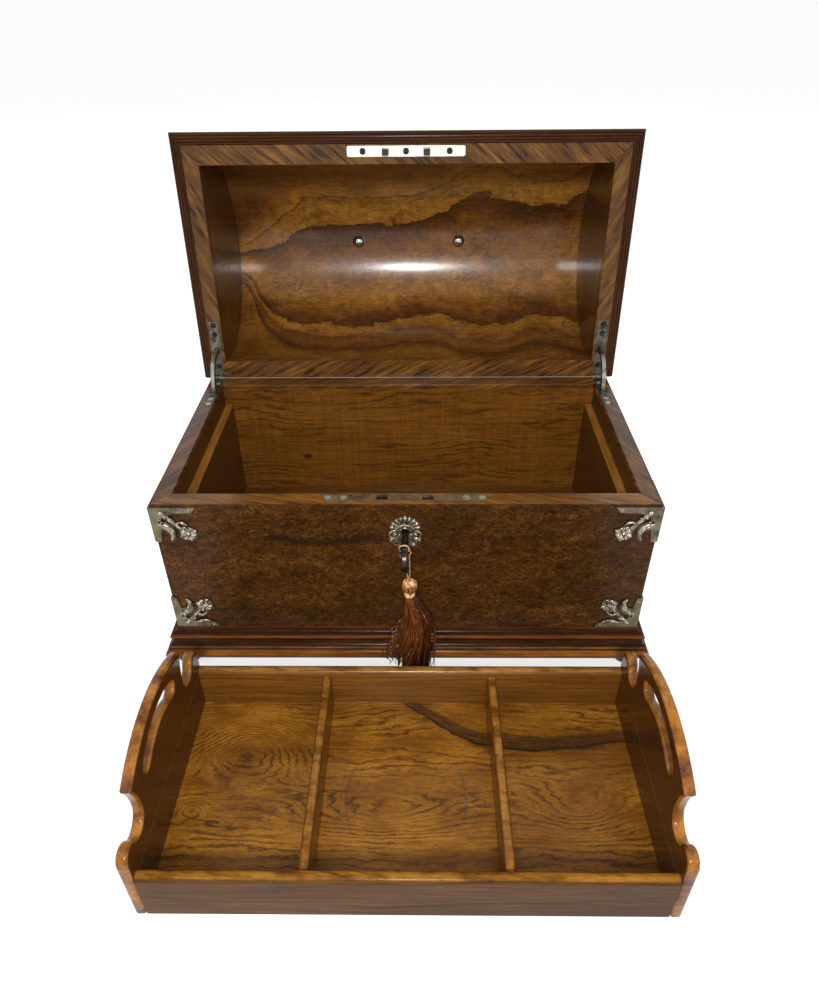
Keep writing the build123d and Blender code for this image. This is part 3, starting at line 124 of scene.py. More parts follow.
def carried(path):
    """Each point of a path with two directions across it, carried along without a twist."""
    normal = (path[1] - path[0]).orthogonal()
    for index, point in enumerate(path):
        tangent = heading(path, index).normalized()
        normal = (normal - tangent * normal.dot(tangent)).normalized()
        yield point, normal, tangent.cross(normal)


def tube(bm, path, radii, sides=6):
    """A round strand along a path of points, with a radius for each point."""
    rings = []
    for (point, normal, side), radius in zip(carried(path), radii):
        rings.append(around(bm, sides, lambda cosine, sine: point + radius * (cosine * normal + sine * side)))
    close_rings(bm, rings)


def lathe(bm, profile, centre, axis, sides=40):
    """A turned form: profile gives pairs of radius and height along the axis."""
    first = axis.orthogonal().normalized()
    second = axis.cross(first)
    rings = []
    for radius, height in profile:
        middle = centre + axis * height
        rings.append(around(bm, sides, lambda cosine, sine: middle + radius * (cosine * first + sine * second)))
    close_rings(bm, rings)


def ridge(bm, onto, path, widths, heights, sides=10):
    """A raised, rounded line on a plate; onto turns (across, along, out) into space."""
    rings = []
    for index, (point, width, height) in enumerate(zip(path, widths, heights)):
        ahead = heading(path, index)
        across = Vector((-ahead.y, ahead.x)).normalized()

        def spot_at(cosine, sine):
            return onto(*(point + across * (width / 2 * cosine)), max(height * sine, SUNK))

        rings.append(around(bm, sides, spot_at))
    close_rings(bm, rings)


def boss(bm, onto, centre, radius, height):
    """A small domed knob on a plate."""
    rings = []
    for share, lift in ((1, -0.2), (1, 0.25), (0.8, 0.7), (0.45, 0.94), (0.1, 1)):

        def spot_at(cosine, sine):
            return onto(*(centre + Vector((cosine, sine)) * radius * share), height * lift)

        rings.append(around(bm, 14, spot_at))
    close_rings(bm, rings)


def curve_through(points, steps):
    """A smooth line through 2-D or 3-D points."""
    points = [Vector(point) for point in points]
    line = []
    count = len(points)
    for index in range(count - 1):
        before = points[max(index - 1, 0)]
        start = points[index]
        end = points[index + 1]
        after = points[min(index + 2, count - 1)]
        for step in range(steps):
            t = step / steps
            line.append(
                0.5
                * (
                    2 * start
                    + (end - before) * t
                    + (2 * before - 5 * start + 4 * end - after) * t**2
                    + (3 * start - before - 3 * end + after) * t**3
                )
            )
    line.append(points[-1])
    return line


def swelling(count, thin, thick, power=1.0):
    """Values that grow from thin to thick at the middle and back."""
    shares = (math.sin(math.pi * index / (count - 1)) ** power for index in range(count))
    return [thin + (thick - thin) * share for share in shares]


def tapering(count, start, end):
    return [start + (end - start) * index / (count - 1) for index in range(count)]


def spiral(centre, start_radius, end_radius, start_angle, end_angle, count=18):
    """A flat scroll line round a centre, angles in degrees."""
    line = []
    for index in range(count):
        share = index / (count - 1)
        radius = start_radius + (end_radius - start_radius) * share
        angle = math.radians(start_angle + (end_angle - start_angle) * share)
        line.append(centre + radius * Vector((math.cos(angle), math.sin(angle))))
    return line


# Escutcheon relief: shell rays, a ribbon, side scrolls and leaves round the keyhole
PLATE_FACE = -96.2


def onto_escutcheon(across, along, out):
    return (across, PLATE_FACE - out, KEY_Z + along)


def escutcheon_relief(material):
    bm = bmesh.new()
    raised, knob = partial(ridge, bm, onto_escutcheon), partial(boss, bm, onto_escutcheon)
    for index in range(9):
        angle = math.radians(10 + 160 * index / 8)
        turn = Vector((math.cos(angle), math.sin(angle)))
        foot = Vector((0, 3.2))
        line = [foot + turn * radius for radius in (4.6, 6.0, 7.4, 8.8, 10.0, 10.7)]
        raised(line, (0.8, 1.5, 2.2, 2.8, 2.7, 1.0), (0.4, 0.8, 1.1, 1.3, 1.0, 0.3))
    arch = spiral(Vector((0, 0.6)), 6.4, 6.4, 8, 172, 26)
    raised(arch, swelling(26, 1.5, 2.1), swelling(26, 1.0, 1.6))
    inner = spiral(Vector((0, 0.2)), 4.2, 4.2, 0, 180, 22)
    raised(inner, swelling(22, 0.7, 1.0), swelling(22, 0.6, 0.9))
    for sign in (-1, 1):
        base = 0 if sign > 0 else 180
        scroll = spiral(Vector((sign * 7.6, -1.6)), 3.9, 1.1, base + sign * 105, base - sign * 260, 30)
        raised(scroll, tapering(30, 1.9, 1.1), swelling(30, 0.8, 1.5, 0.5))
        knob(Vector((sign * 7.6, -2.0)), 0.9, 1.3)
        low = spiral(Vector((sign * 5.6, -8.0)), 3.2, 0.9, base + sign * 80, base - sign * 230, 24)
        raised(low, tapering(24, 1.6, 0.9), swelling(24, 0.7, 1.3, 0.5))
        side = curve_through([(sign * 3.9, -1), (sign * 4.6, -5), (sign * 3.6, -9), (sign * 1.2, -12.5)], 6)
        raised(side, tapering(len(side), 1.5, 1.0), swelling(len(side), 0.5, 1.1, 0.5))
        leaf = curve_through([(sign * 8.6, -4.8), (sign * 10.0, -7.0), (sign * 8.4, -9.0)], 5)
        raised(leaf, swelling(len(leaf), 0.5, 2.0), swelling(len(leaf), 0.2, 1.0))
    for tip in (-1.6, 0, 1.6):
        leaf = [
            Vector((tip * 0.3, -10.4)), Vector((tip * 0.7, -12.2)), Vector((tip, -14.0)), Vector((tip * 1.2, -15.2)),
        ]
        raised(leaf, (0.7, 1.6, 1.4, 0.4), (0.6, 1.1, 0.9, 0.2))
    add_piece("escutcheon_relief", bm, material, "case")


# Corner mount relief: a flower on its stem, a curled leaf and small pins
MOUNT_ARM = 31.5
MOUNT_DROP = 29.5
MOUNT_PROUD = 1.1


def mount_face(edge_z, sign, side, turned):
    """A mount's face: sign is -1 below the rim, side is -1 at the left, turned is the case's end."""

    def onto(across, along, out):
        height = edge_z + sign * along
        if turned:
            return (side * (HALF_WIDTH + MOUNT_PROUD + out), across - HALF_DEPTH, height)
        return (side * (HALF_WIDTH - across), -HALF_DEPTH - MOUNT_PROUD - out, height)

    return onto


def at(across, along):
    return Vector((across * MOUNT_ARM, along * MOUNT_DROP))


def mount_relief(bm, onto, low):
    raised, knob = partial(ridge, bm, onto), partial(boss, bm, onto)
    centre = at(0.74, 0.75)
    for index in range(8):
        angle = 2 * math.pi * index / 8 + 0.3
        turn = Vector((math.cos(angle), math.sin(angle)))
        side = Vector((-turn.y, turn.x))
        long = 6.6 if index % 2 else 5.6
        line = [
            centre + turn * long * share + side * bend
            for share, bend in ((0.16, 0), (0.4, 0.2), (0.64, 0.5), (0.86, 0.4), (1.0, -0.3))
        ]
        raised(line, (1.0, 2.2, 3.4, 3.0, 1.2), (0.7, 1.1, 1.3, 1.1, 0.4))
        for bend in (-0.8, 0.8):
            lobe = [
                centre + turn * radius + side * bend * share for radius, share in ((3.2, 0.9), (4.4, 1.6), (5.6, 2.2))
            ]
            raised(lobe, (0.6, 1.3, 0.7), (1.1, 1.5, 0.6), 6)
    knob(centre, 1.9, 2.0)
    stem = curve_through([at(0.2, 0.12), at(0.34, 0.28), at(0.48, 0.45), at(0.62, 0.62)], 5)
    raised(stem, tapering(len(stem), 3.6, 2.0), tapering(len(stem), 1.5, 1.1))
    for spot in (at(0.26, 0.15), at(0.31, 0.28), at(0.43, 0.31)):
        knob(spot, 1.3, 1.7)
    leaf = curve_through([at(0.1, 0.48), at(0.24, 0.52), at(0.37, 0.66), at(0.4, 0.82), at(0.33, 0.96)], 6)
    raised(leaf, swelling(len(leaf), 1.1, 5.0), swelling(len(leaf), 0.5, 1.5, 0.6))
    rib = curve_through([at(0.16, 0.5), at(0.27, 0.56), at(0.36, 0.69), at(0.37, 0.84)], 6)
    raised(rib, swelling(len(rib), 0.5, 1.2), swelling(len(rib), 1.2, 2.1, 0.6), 6)
    sprig = curve_through([at(0.46, 0.5), at(0.6, 0.42), at(0.7, 0.46), at(0.76, 0.54)], 5)
    raised(sprig, swelling(len(sprig), 0.7, 2.2), swelling(len(sprig), 0.4, 1.1))
    scroll = spiral(at(0.2, 0.42), 2.8, 0.8, 250, -60, 20)
    raised(scroll, tapering(20, 1.5, 0.9), swelling(20, 0.8, 1.4, 0.5))
    knob(at(0.2, 0.42), 0.8, 1.3)
    if low:
        lying = curve_through([at(0.42, 0.14), at(0.55, 0.2), at(0.7, 0.21), at(0.84, 0.15)], 6)
        raised(lying, swelling(len(lying), 0.6, 3.2), swelling(len(lying), 0.3, 1.2))
    knob(at(0.86, 0.07), 0.8, 0.7)
    knob(at(0.065, 0.88), 0.8, 0.7)


def corner_reliefs(material):
    for level, edge_z, sign in (("top", 148.5, -1), ("bottom", 36.2, 1)):
        for name, side in (("left", -1), ("right", 1)):
            bm = bmesh.new()
            for turned in (False, True):
                mount_relief(bm, mount_face(edge_z, sign, side, turned), sign > 0)
            add_piece(f"corner_relief_{level}_{name}", bm, material, "case")


# Dome-headed nuts inside the lid, in place of the plain ones
LEAN = math.radians(5.5)
LID_UP = Vector((0, math.sin(LEAN), math.cos(LEAN)))
LID_IN = Vector((0, math.cos(LEAN), -math.sin(LEAN)))
HINGE = Vector((0, HALF_DEPTH, RIM_Z))
NUT_SIDE = 46.5
NUT_UP = 95
NUT_IN = 104


def domed_nuts(material):
    bm = bmesh.new()
    for side in (-1, 1):
        centre = HINGE + Vector((side * NUT_SIDE, 0, 0)) + NUT_UP * LID_UP + NUT_IN * LID_IN
        lathe(
            bm,
            (
                (5.5, 0), (5.6, 0.25), (5.6, 0.7), (5.3, 1.0), (4.9, 1.1), (4.8, 1.35), (4.5, 2.1), (3.8, 2.95),
                (2.7, 3.65), (1.4, 4.05), (0.3, 4.18),
            ),
            centre, -LID_IN,
        )
    add_piece("domed_nuts", bm, material, "lid", ("handle_nuts",))


# Tassel: a looped cord, a bound head and loose strands
NECK_Y = -114.0
SKIRT_LEVELS = (
    (86, 0.4, 6.6, 3.2, -115.0),
    (77, -1.0, 12.0, 5.4, -115.4),
    (66, -2.0, 18.6, 7.0, -116.0),
    (54, -4.4, 20.2, 8.2, -116.6),
    (44, -8.0, 20.4, 8.8, -117.2),
    (34, -11.8, 19.4, 9.0, -117.8),
    (22, -12.2, 18.4, 9.0, -118.0),
    (9, -11.0, 17.6, 8.8, -118.0),
)


def skirt_section(height):
    """Left and right edge, half depth and middle line of the strands at a height."""
    if height >= SKIRT_LEVELS[0][0]:
        return SKIRT_LEVELS[0][1:]
    for upper, lower in zip(SKIRT_LEVELS, SKIRT_LEVELS[1:]):
        if height >= lower[0]:
            share = (upper[0] - height) / (upper[0] - lower[0])
            return tuple(a + (b - a) * share for a, b in zip(upper[1:], lower[1:]))
    return SKIRT_LEVELS[-1][1:]


def twisted(bm, path, radius, turns):
    """A cord of two twisted plies along a path."""
    count = len(path)
    for ply in range(2):
        line = []
        for index, (point, normal, side) in enumerate(carried(path)):
            angle = 2 * math.pi * (turns * index / (count - 1) + ply / 2)
            line.append(point + radius * 0.55 * (math.cos(angle) * normal + math.sin(angle) * side))
        tube(bm, line, [radius * 0.62] * count)


def tassel_cord(material):
    bm = bmesh.new()
    loop = [Vector((3.0, NECK_Y - 0.5, 98.0)), Vector((3.3, NECK_Y - 0.2, 106)), Vector((3.1, NECK_Y, 120))]
    for step in range(9):
        angle = math.pi * step / 8
        loop.append(Vector((3.05 * math.cos(angle), NECK_Y, 127 + 3.05 * math.sin(angle))))
    loop += [
        Vector((-2.9, NECK_Y, 121)), Vector((-1.2, NECK_Y, 113)), Vector((1.3, NECK_Y - 0.3, 105)),
        Vector((2.8, NECK_Y - 0.5, 98.0)),
    ]
    twisted(bm, curve_through(loop, 6), 0.62, 30)
    wrap = []
    for step in range(33):
        angle = 2 * math.pi * step / 24 + 0.6
        wrap.append(Vector((3.1 * math.cos(angle), NECK_Y + 0.6 - 1.2 * step / 32, 127 + 3.1 * math.sin(angle))))
    wrap += [Vector((3.9, NECK_Y - 1.4, 126)), Vector((3.3, NECK_Y - 1.9, 124.2)), Vector((2.4, NECK_Y - 1.9, 124.6))]
    twisted(bm, curve_through(wrap, 3), 0.55, 24)
    add_piece("silk_cord", bm, material, "tassel", ("tassel_cord",))
    bm = bmesh.new()
    tie = [
        (-2.6, -121.6, 131.9), (-3.4, -122.2, 133.4), (-3.1, -122.6, 136.4), (-1.0, -122.8, 137.5),
        (1.4, -123.0, 137.4), (3.0, -123.6, 136.0), (2.9, -124.6, 134.4), (1.6, -125.3, 134.6), (2.2, -124.9, 135.9),
        (3.3, -123.8, 135.2), (3.4, -122.4, 133.2), (2.4, -121.4, 131.9), (0, -121.2, 132.3), (-2.4, -121.4, 132.2),
    ]
    twisted(bm, curve_through([Vector(spot) for spot in tie], 5), 0.55, 22)
    add_piece("silk_tie", bm, material, "key")


HEAD_MIDDLE = Vector((3.0, -114.8, 96.0))


def tassel_head(material):
    bm = bmesh.new()
    profile = (
        (1.0, 3.3), (2.6, 3.0), (4.0, 1.6), (4.5, -0.6), (4.2, -2.8), (3.4, -4.8), (2.7, -6.4), (2.6, -8.0),
        (3.1, -10.0),
    )
    lathe(bm, [(radius - 0.55, height) for radius, height in profile], HEAD_MIDDLE, Vector((0, 0, 1)), 24)
    for index in range(20):
        line = []
        for row, (radius, height) in enumerate(profile):
            angle = 2 * math.pi * index / 20 + 0.1 * row
            line.append(HEAD_MIDDLE + Vector((radius * math.cos(angle), radius * math.sin(angle), height)))
        line = curve_through(line, 3)
        tube(bm, line, swelling(len(line), 0.45, 0.8, 0.5), 6)
    for turn, phase in ((1, 0.0), (-1, 1.3)):
        knot = []
        for step in range(49):
            angle = 2 * math.pi * step / 48
            lift = 0.2 + 1.9 * math.sin(3 * angle + phase)
            reach = 4.7 + 0.3 * math.cos(3 * angle + phase * 2) - 0.3 * max(0, lift) ** 1.3
            knot.append(HEAD_MIDDLE + Vector((reach * math.cos(turn * angle), reach * math.sin(turn * angle), lift)))
        twisted(bm, knot, 0.75, 16)
    for row in range(6):
        ring = []
        for step in range(25):
            angle = 2 * math.pi * step / 24
            ring.append(
                HEAD_MIDDLE + Vector(
                    (3.3 * math.cos(angle), 3.3 * math.sin(angle), -6.2 - 0.62 * row - 0.6 * step / 24)
                )
            )
        tube(bm, ring, [0.42] * 25, 6)
    add_piece("silk_head", bm, material, "tassel", ("tassel_head",))


STRANDS = 330
STRAYS = 48
LOCKS = 17
GOLDEN_ANGLE = 2.399963
SKIRT_TOP = 86.5
HEM = 9.3
HEM_RISE = 17.0
SKIRT_STEPS = 12
FRONT_LIMIT = -106.6


def tassel_skirt(material, stray_material):
    spread = random.Random(11)
    bm = bmesh.new()
    locks = [(spread.uniform(0, 6.28), spread.uniform(0.5, 1.5), spread.uniform(-1.5, 5.5)) for _ in range(2 * LOCKS)]
    for index in range(STRANDS):
        share_out = math.sqrt((index + 0.5) / STRANDS)
        reach = share_out * spread.uniform(0.95, 1.05)
        angle = index * GOLDEN_ANGLE + spread.uniform(-0.2, 0.2)
        turn = (angle % (2 * math.pi)) / (2 * math.pi)
        sway, wave, longer = locks[int(turn * LOCKS) + (LOCKS if share_out < 0.75 else 0)]
        middle_turn = 2 * math.pi * (int(turn * LOCKS) + 0.5) / LOCKS
        left_side = max(0.0, -math.cos(angle) * reach)
        bottom = HEM + HEM_RISE * left_side**0.9 + max(0.0, longer) + spread.uniform(0, 2.5) + 6.0 * spread.random()**5
        line = []
        radii = []
        for step in range(SKIRT_STEPS + 1):
            share = step / SKIRT_STEPS
            height = SKIRT_TOP + (bottom - SKIRT_TOP) * share
            left, right, depth, middle = skirt_section(height)
            gathered = angle + (middle_turn - turn * 2 * math.pi) * 0.45 * share
            x = (left + right) / 2 + reach * math.cos(gathered) * (right - left) / 2
            y = middle + reach * math.sin(gathered) * depth
            x += 0.8 * wave * share * math.sin(sway + 5 * share) + 0.2 * share * math.sin(index + 6 * share)
            y += wave * share * math.cos(sway + 5 * share) * 0.8
            line.append(Vector((x, min(y, FRONT_LIMIT), height)))
            radii.append(0.42 + 0.18 * math.sin(math.pi * share) - 0.14 * share)
        tube(bm, line, radii, 5)
    add_piece("silk_strands", bm, material, "tassel", ("tassel_skirt",))
    bm = bmesh.new()
    for index in range(STRAYS):
        side = -1 if index % 3 else 1
        height = spread.uniform(38, 66) if side < 0 else spread.uniform(36, 70)
        left, right, depth, middle = skirt_section(height)
        start = left + 1.6 if side < 0 else right - 1.6
        reach = spread.uniform(2.5, 10.5) if side < 0 else spread.uniform(1.4, 3.6)
        drop = spread.uniform(9, 22)
        y = min(middle - spread.uniform(0, 5), -108)
        curl = spread.uniform(-0.5, 1.4)
        line = curve_through(
            [
                (start, y, height), (start + side * reach * 0.7, y - 0.5, height - drop * 0.12),
                (start + side * reach, y - 1.0, height - drop * 0.42),
                (start + side * reach * (0.8 - 0.5 * curl), y - 0.9, height - drop * 0.72),
                (start + side * reach * (0.4 + 0.6 * curl), y - 0.6, height - drop),
            ],
            5,
        )
        tube(bm, line, tapering(len(line), 0.42, 0.24), 5)
    add_piece("silk_strays", bm, stray_material, "tassel")


# Finishes: node trees whose lengths are in millimetres from the case's centre
def linear(colour):
    """Three numbers are shares out of 255 as the eye sees them; all else is left as it is."""
    if not isinstance(colour, tuple) or len(colour) != 3:
        return colour
    channels = []
    for value in colour:
        share = value / 255
        channels.append(share / 12.92 if share <= 0.04045 else ((share + 0.055) / 1.055) ** 2.4)
    return (*channels, 1.0)


class Field:
    """A node's result; arithmetic with it makes the math nodes."""

    def __init__(self, finish, socket):
        self.finish = finish
        self.socket = socket

    def __add__(self, other):
        return self.finish.math("ADD", self, other)

    def __sub__(self, other):
        return self.finish.math("SUBTRACT", self, other)

    def __rsub__(self, other):
        return self.finish.math("SUBTRACT", other, self)

    def __mul__(self, other):
        return self.finish.math("MULTIPLY", self, other)

    def __truediv__(self, other):
        return self.finish.math("DIVIDE", self, other)

    def __abs__(self):
        return self.finish.math("ABSOLUTE", self)

    def scaled(self, factor, shift):
        return self.finish.math("MULTIPLY_ADD", self, factor, shift)


class Finish:
    """One material's node tree, with short calls for the nodes that it needs."""

    def __init__(self, name, on_lid=False):
        self.material = bpy.data.materials.new(name)
        self.material.use_nodes = True
        self.tree = self.material.node_tree
        self.shader = self.tree.nodes["Principled BSDF"]
        coordinates = self.node("ShaderNodeTexCoord")
        moved = self.vector("SUBTRACT", coordinates.outputs["Object"], (0, CASE_Y, 0))
        point = self.vector("MULTIPLY", moved, (1 / MM, 1 / MM, 1 / MM))
        self.normal = coordinates.outputs["Normal"]
        if on_lid:
            moved = self.vector("SUBTRACT", point, tuple(HINGE))
            up = self.vector("DOT_PRODUCT", moved, tuple(LID_UP))
            inward = self.vector("DOT_PRODUCT", moved, tuple(LID_IN))
            point = self.join(self.split(moved)[0], up, inward)
        self.point = point
        self.x, self.y, self.z = self.split(point)

    def node(self, kind, **settings):
        made = self.tree.nodes.new(kind)
        for key, value in settings.items():
            setattr(made, key, value)
        return made

    def put(self, socket, value):
        if isinstance(value, Field):
            value = value.socket
        if isinstance(value, bpy.types.NodeSocket):
            self.tree.links.new(value, socket)
        else:
            socket.default_value = value

    def vector(self, operation, first, second):
        made = self.node("ShaderNodeVectorMath", operation=operation)
        self.put(made.inputs[0], first)
        self.put(made.inputs[1], second)
        return Field(self, made.outputs["Value" if operation in ("DOT_PRODUCT", "LENGTH") else "Vector"])

    def split(self, vector):
        made = self.node("ShaderNodeSeparateXYZ")
        self.put(made.inputs[0], vector)
        return tuple(Field(self, socket) for socket in made.outputs)

    def join(self, x, y, z):
        made = self.node("ShaderNodeCombineXYZ")
        for socket, value in zip(made.inputs, (x, y, z)):
            self.put(socket, value)
        return Field(self, made.outputs[0])

    def math(self, operation, first, second=0.0, third=0.0):
        made = self.node("ShaderNodeMath", operation=operation)
        for socket, value in zip(made.inputs, (first, second, third)):
            self.put(socket, value)
        return Field(self, made.outputs[0])

    def span(self, value, low, high, start=0.0, end=1.0):
        """A value's smooth rise from start to end between low and high."""
        made = self.node("ShaderNodeMapRange", interpolation_type="SMOOTHSTEP")
        for socket, number in zip(made.inputs, (value, low, high, start, end)):
            self.put(socket, number)
        return Field(self, made.outputs[0])

    def noise(self, point, size, detail=3.0, roughness=0.5, distortion=0.0):
        """Noise from 0 to 1; size is the number of millimetres of a patch in each direction."""
        scaled = self.vector("DIVIDE", point, size)
        made = self.node("ShaderNodeTexNoise")
        self.put(made.inputs["Vector"], scaled)
        self.put(made.inputs["Scale"], 1.0)
        self.put(made.inputs["Detail"], detail)
        self.put(made.inputs["Roughness"], roughness)
        self.put(made.inputs["Distortion"], distortion)
        return Field(self, made.outputs[0])

    def spots(self, point, size, edge):
        """Scattered round spots, 1 inside and 0 outside."""
        made = self.node("ShaderNodeTexVoronoi")
        self.put(made.inputs["Vector"], self.vector("DIVIDE", point, size))
        self.put(made.inputs["Scale"], 1.0)
        return self.span(made.outputs["Distance"], edge * 1.4, edge * 0.5)

    def ramp(self, value, stops):
        """A colour along a value; stops are pairs of a place and a colour."""
        made = self.node("ShaderNodeValToRGB")
        elements = made.color_ramp.elements
        while len(elements) < len(stops):
            elements.new(0.5)
        for element, (place_at, colour) in zip(elements, sorted(stops, key=lambda stop: stop[0])):
            element.position = place_at
            element.color = linear(colour)
        self.put(made.inputs[0], value)
        return Field(self, made.outputs[0])

    def course(self, value, low, high, points):
        """A smooth line through pairs of a place along the value and a height, in millimetres."""
        heights = [height for _, height in points]
        bottom, top = min(heights) - 20, max(heights) + 20
        made = self.node("ShaderNodeFloatCurve")
        curve = made.mapping.curves[0]
        shares = [((spot - low) / (high - low), (height - bottom) / (top - bottom)) for spot, height in points]
        curve.points[0].location = shares[0]
        curve.points[1].location = shares[-1]
        for share in shares[1:-1]:
            curve.points.new(*share)
        made.mapping.update()
        self.put(made.inputs[0], 1.0)
        self.put(made.inputs[1], (value - low) / (high - low))
        return self.math("MULTIPLY_ADD", made.outputs[0], top - bottom, bottom)

    def mix(self, factor, first, second, blend="MIX"):
        made = self.node("ShaderNodeMix", data_type="RGBA", blend_type=blend)
        self.put(made.inputs[0], factor)
        self.put(made.inputs[6], linear(first))
        self.put(made.inputs[7], linear(second))
        return Field(self, made.outputs[2])

    def blend(self, factor, first, second):
        """One number or the other, by a factor."""
        made = self.node("ShaderNodeMix")
        self.put(made.inputs[0], factor)
        self.put(made.inputs[2], first)
        self.put(made.inputs[3], second)
        return Field(self, made.outputs[0])

    def lines(self, field, sharpness=3.0):
        """Thin lines, one for each whole number of the field."""
        wave = self.math("COSINE", field * (2 * math.pi))
        return self.math("POWER", wave.scaled(0.5, 0.5), sharpness)

    def varied(self, colour, field, amount, low=0.34, high=0.66):
        """A colour made darker and lighter by a field."""
        dim = 1 - amount
        lit = 1 + amount * 0.9
        shade = self.ramp(field, ((low, (dim, dim * 0.97, dim * 0.9, 1)), (high, (lit, lit, lit * 0.98, 1))))
        return self.mix(1.0, colour, shade, "MULTIPLY")

    def hump(self, centre, reach, height):
        """A rounded rise of the growth lines round a centre."""
        offset = self.vector("DIVIDE", self.vector("SUBTRACT", self.point, centre), reach)
        square = self.vector("DOT_PRODUCT", offset, offset)
        return self.math("EXPONENT", square * -1.0) * height

    def done(self, colour, roughness, height=None, depth=0.1, rounding=0.0, **sockets):
        """Connects the shader; depth is the bump's height in millimetres."""
        self.put(self.shader.inputs["Base Color"], colour)
        self.put(self.shader.inputs["Roughness"], roughness)
        for key, value in sockets.items():
            self.put(self.shader.inputs[key.replace("_", " ").title().replace("Ior", "IOR")], value)
        softened = None
        if rounding:
            bevel = self.node("ShaderNodeBevel", samples=4)
            bevel.inputs["Radius"].default_value = rounding * MM
            softened = bevel.outputs[0]
            self.tree.links.new(softened, self.shader.inputs["Normal"])
        if height is not None:
            bump = self.node("ShaderNodeBump")
            bump.inputs["Distance"].default_value = depth * MM
            bump.inputs["Strength"].default_value = 1.0
            self.put(bump.inputs["Height"], height)
            if softened:
                self.tree.links.new(softened, bump.inputs["Normal"])
            self.tree.links.new(bump.outputs[0], self.shader.inputs["Normal"])
        return self.material


class Wood(Finish):
    """Polished walnut: fibres, pores, growth lines and varnish."""

    def set_grain(self, along, across, deep, seed=0.0):
        """Names the grain's direction; the fibres and pores follow it."""
        self.grain = self.join(along + seed * 37, across + seed * 11, deep)
        self.fibres = self.noise(self.grain, (40, 1.7, 2.4), 4, 0.62)
        self.pores = self.span(self.noise(self.grain, (6.5, 0.55, 0.8), 2, 0.5), 0.58, 0.7)
        self.drift = self.noise(self.grain, (120, 26, 40), 3, 0.55)

    def growth(self, spacing, wander, size=(110, 26, 60), extra=None, seed=0.0):
        """Lines across the grain, spacing apart, that wander by some of their spacings."""
        across = self.split(self.grain)[1]
        slow = self.noise(self.vector("ADD", self.grain, (seed, seed * 2, seed)), size, 7, 0.6)
        field = slow.scaled(wander, across / spacing)
        if extra is not None:
            field = field + extra
        return field

    def veins(self, field, middle=0.5, width=0.012):
        """Thin curly lines where a field passes a value."""
        return self.span(abs(field - middle), width, width * 0.15)

    def varnished(self, colour, gloss=0.3, rounding=0.5, coat=0.16, shine=0.16):
        """Darkens the pores, then sets a varnish with a little ripple over the wood."""
        colour = self.mix(self.pores * 0.6, colour, self.mix(1.0, colour, (0.34, 0.26, 0.2, 1), "MULTIPLY"))
        rough = self.fibres.scaled(0.14, gloss - 0.07)
        waves = self.noise(self.point, (14, 14, 14), 2, 0.5)
        height = waves.scaled(0.2, self.pores * -0.3)
        height = self.fibres.scaled(0.05, height)
        return self.done(
            colour, rough, height, 0.1, rounding, coat_weight=coat, coat_roughness=0.14, specular_ior_level=shine,
        )

    def shaded(self, colour, amount=0.3):
        """Fibre by fibre and patch by patch change of depth of a colour."""
        return self.varied(self.varied(colour, self.fibres, amount, 0.3, 0.7), self.drift, 0.16)


DOME_Z = 22
DOME_RADIUS = 82
STRATA_BELOW = 1.2
STRATA_RANGE = 3.2


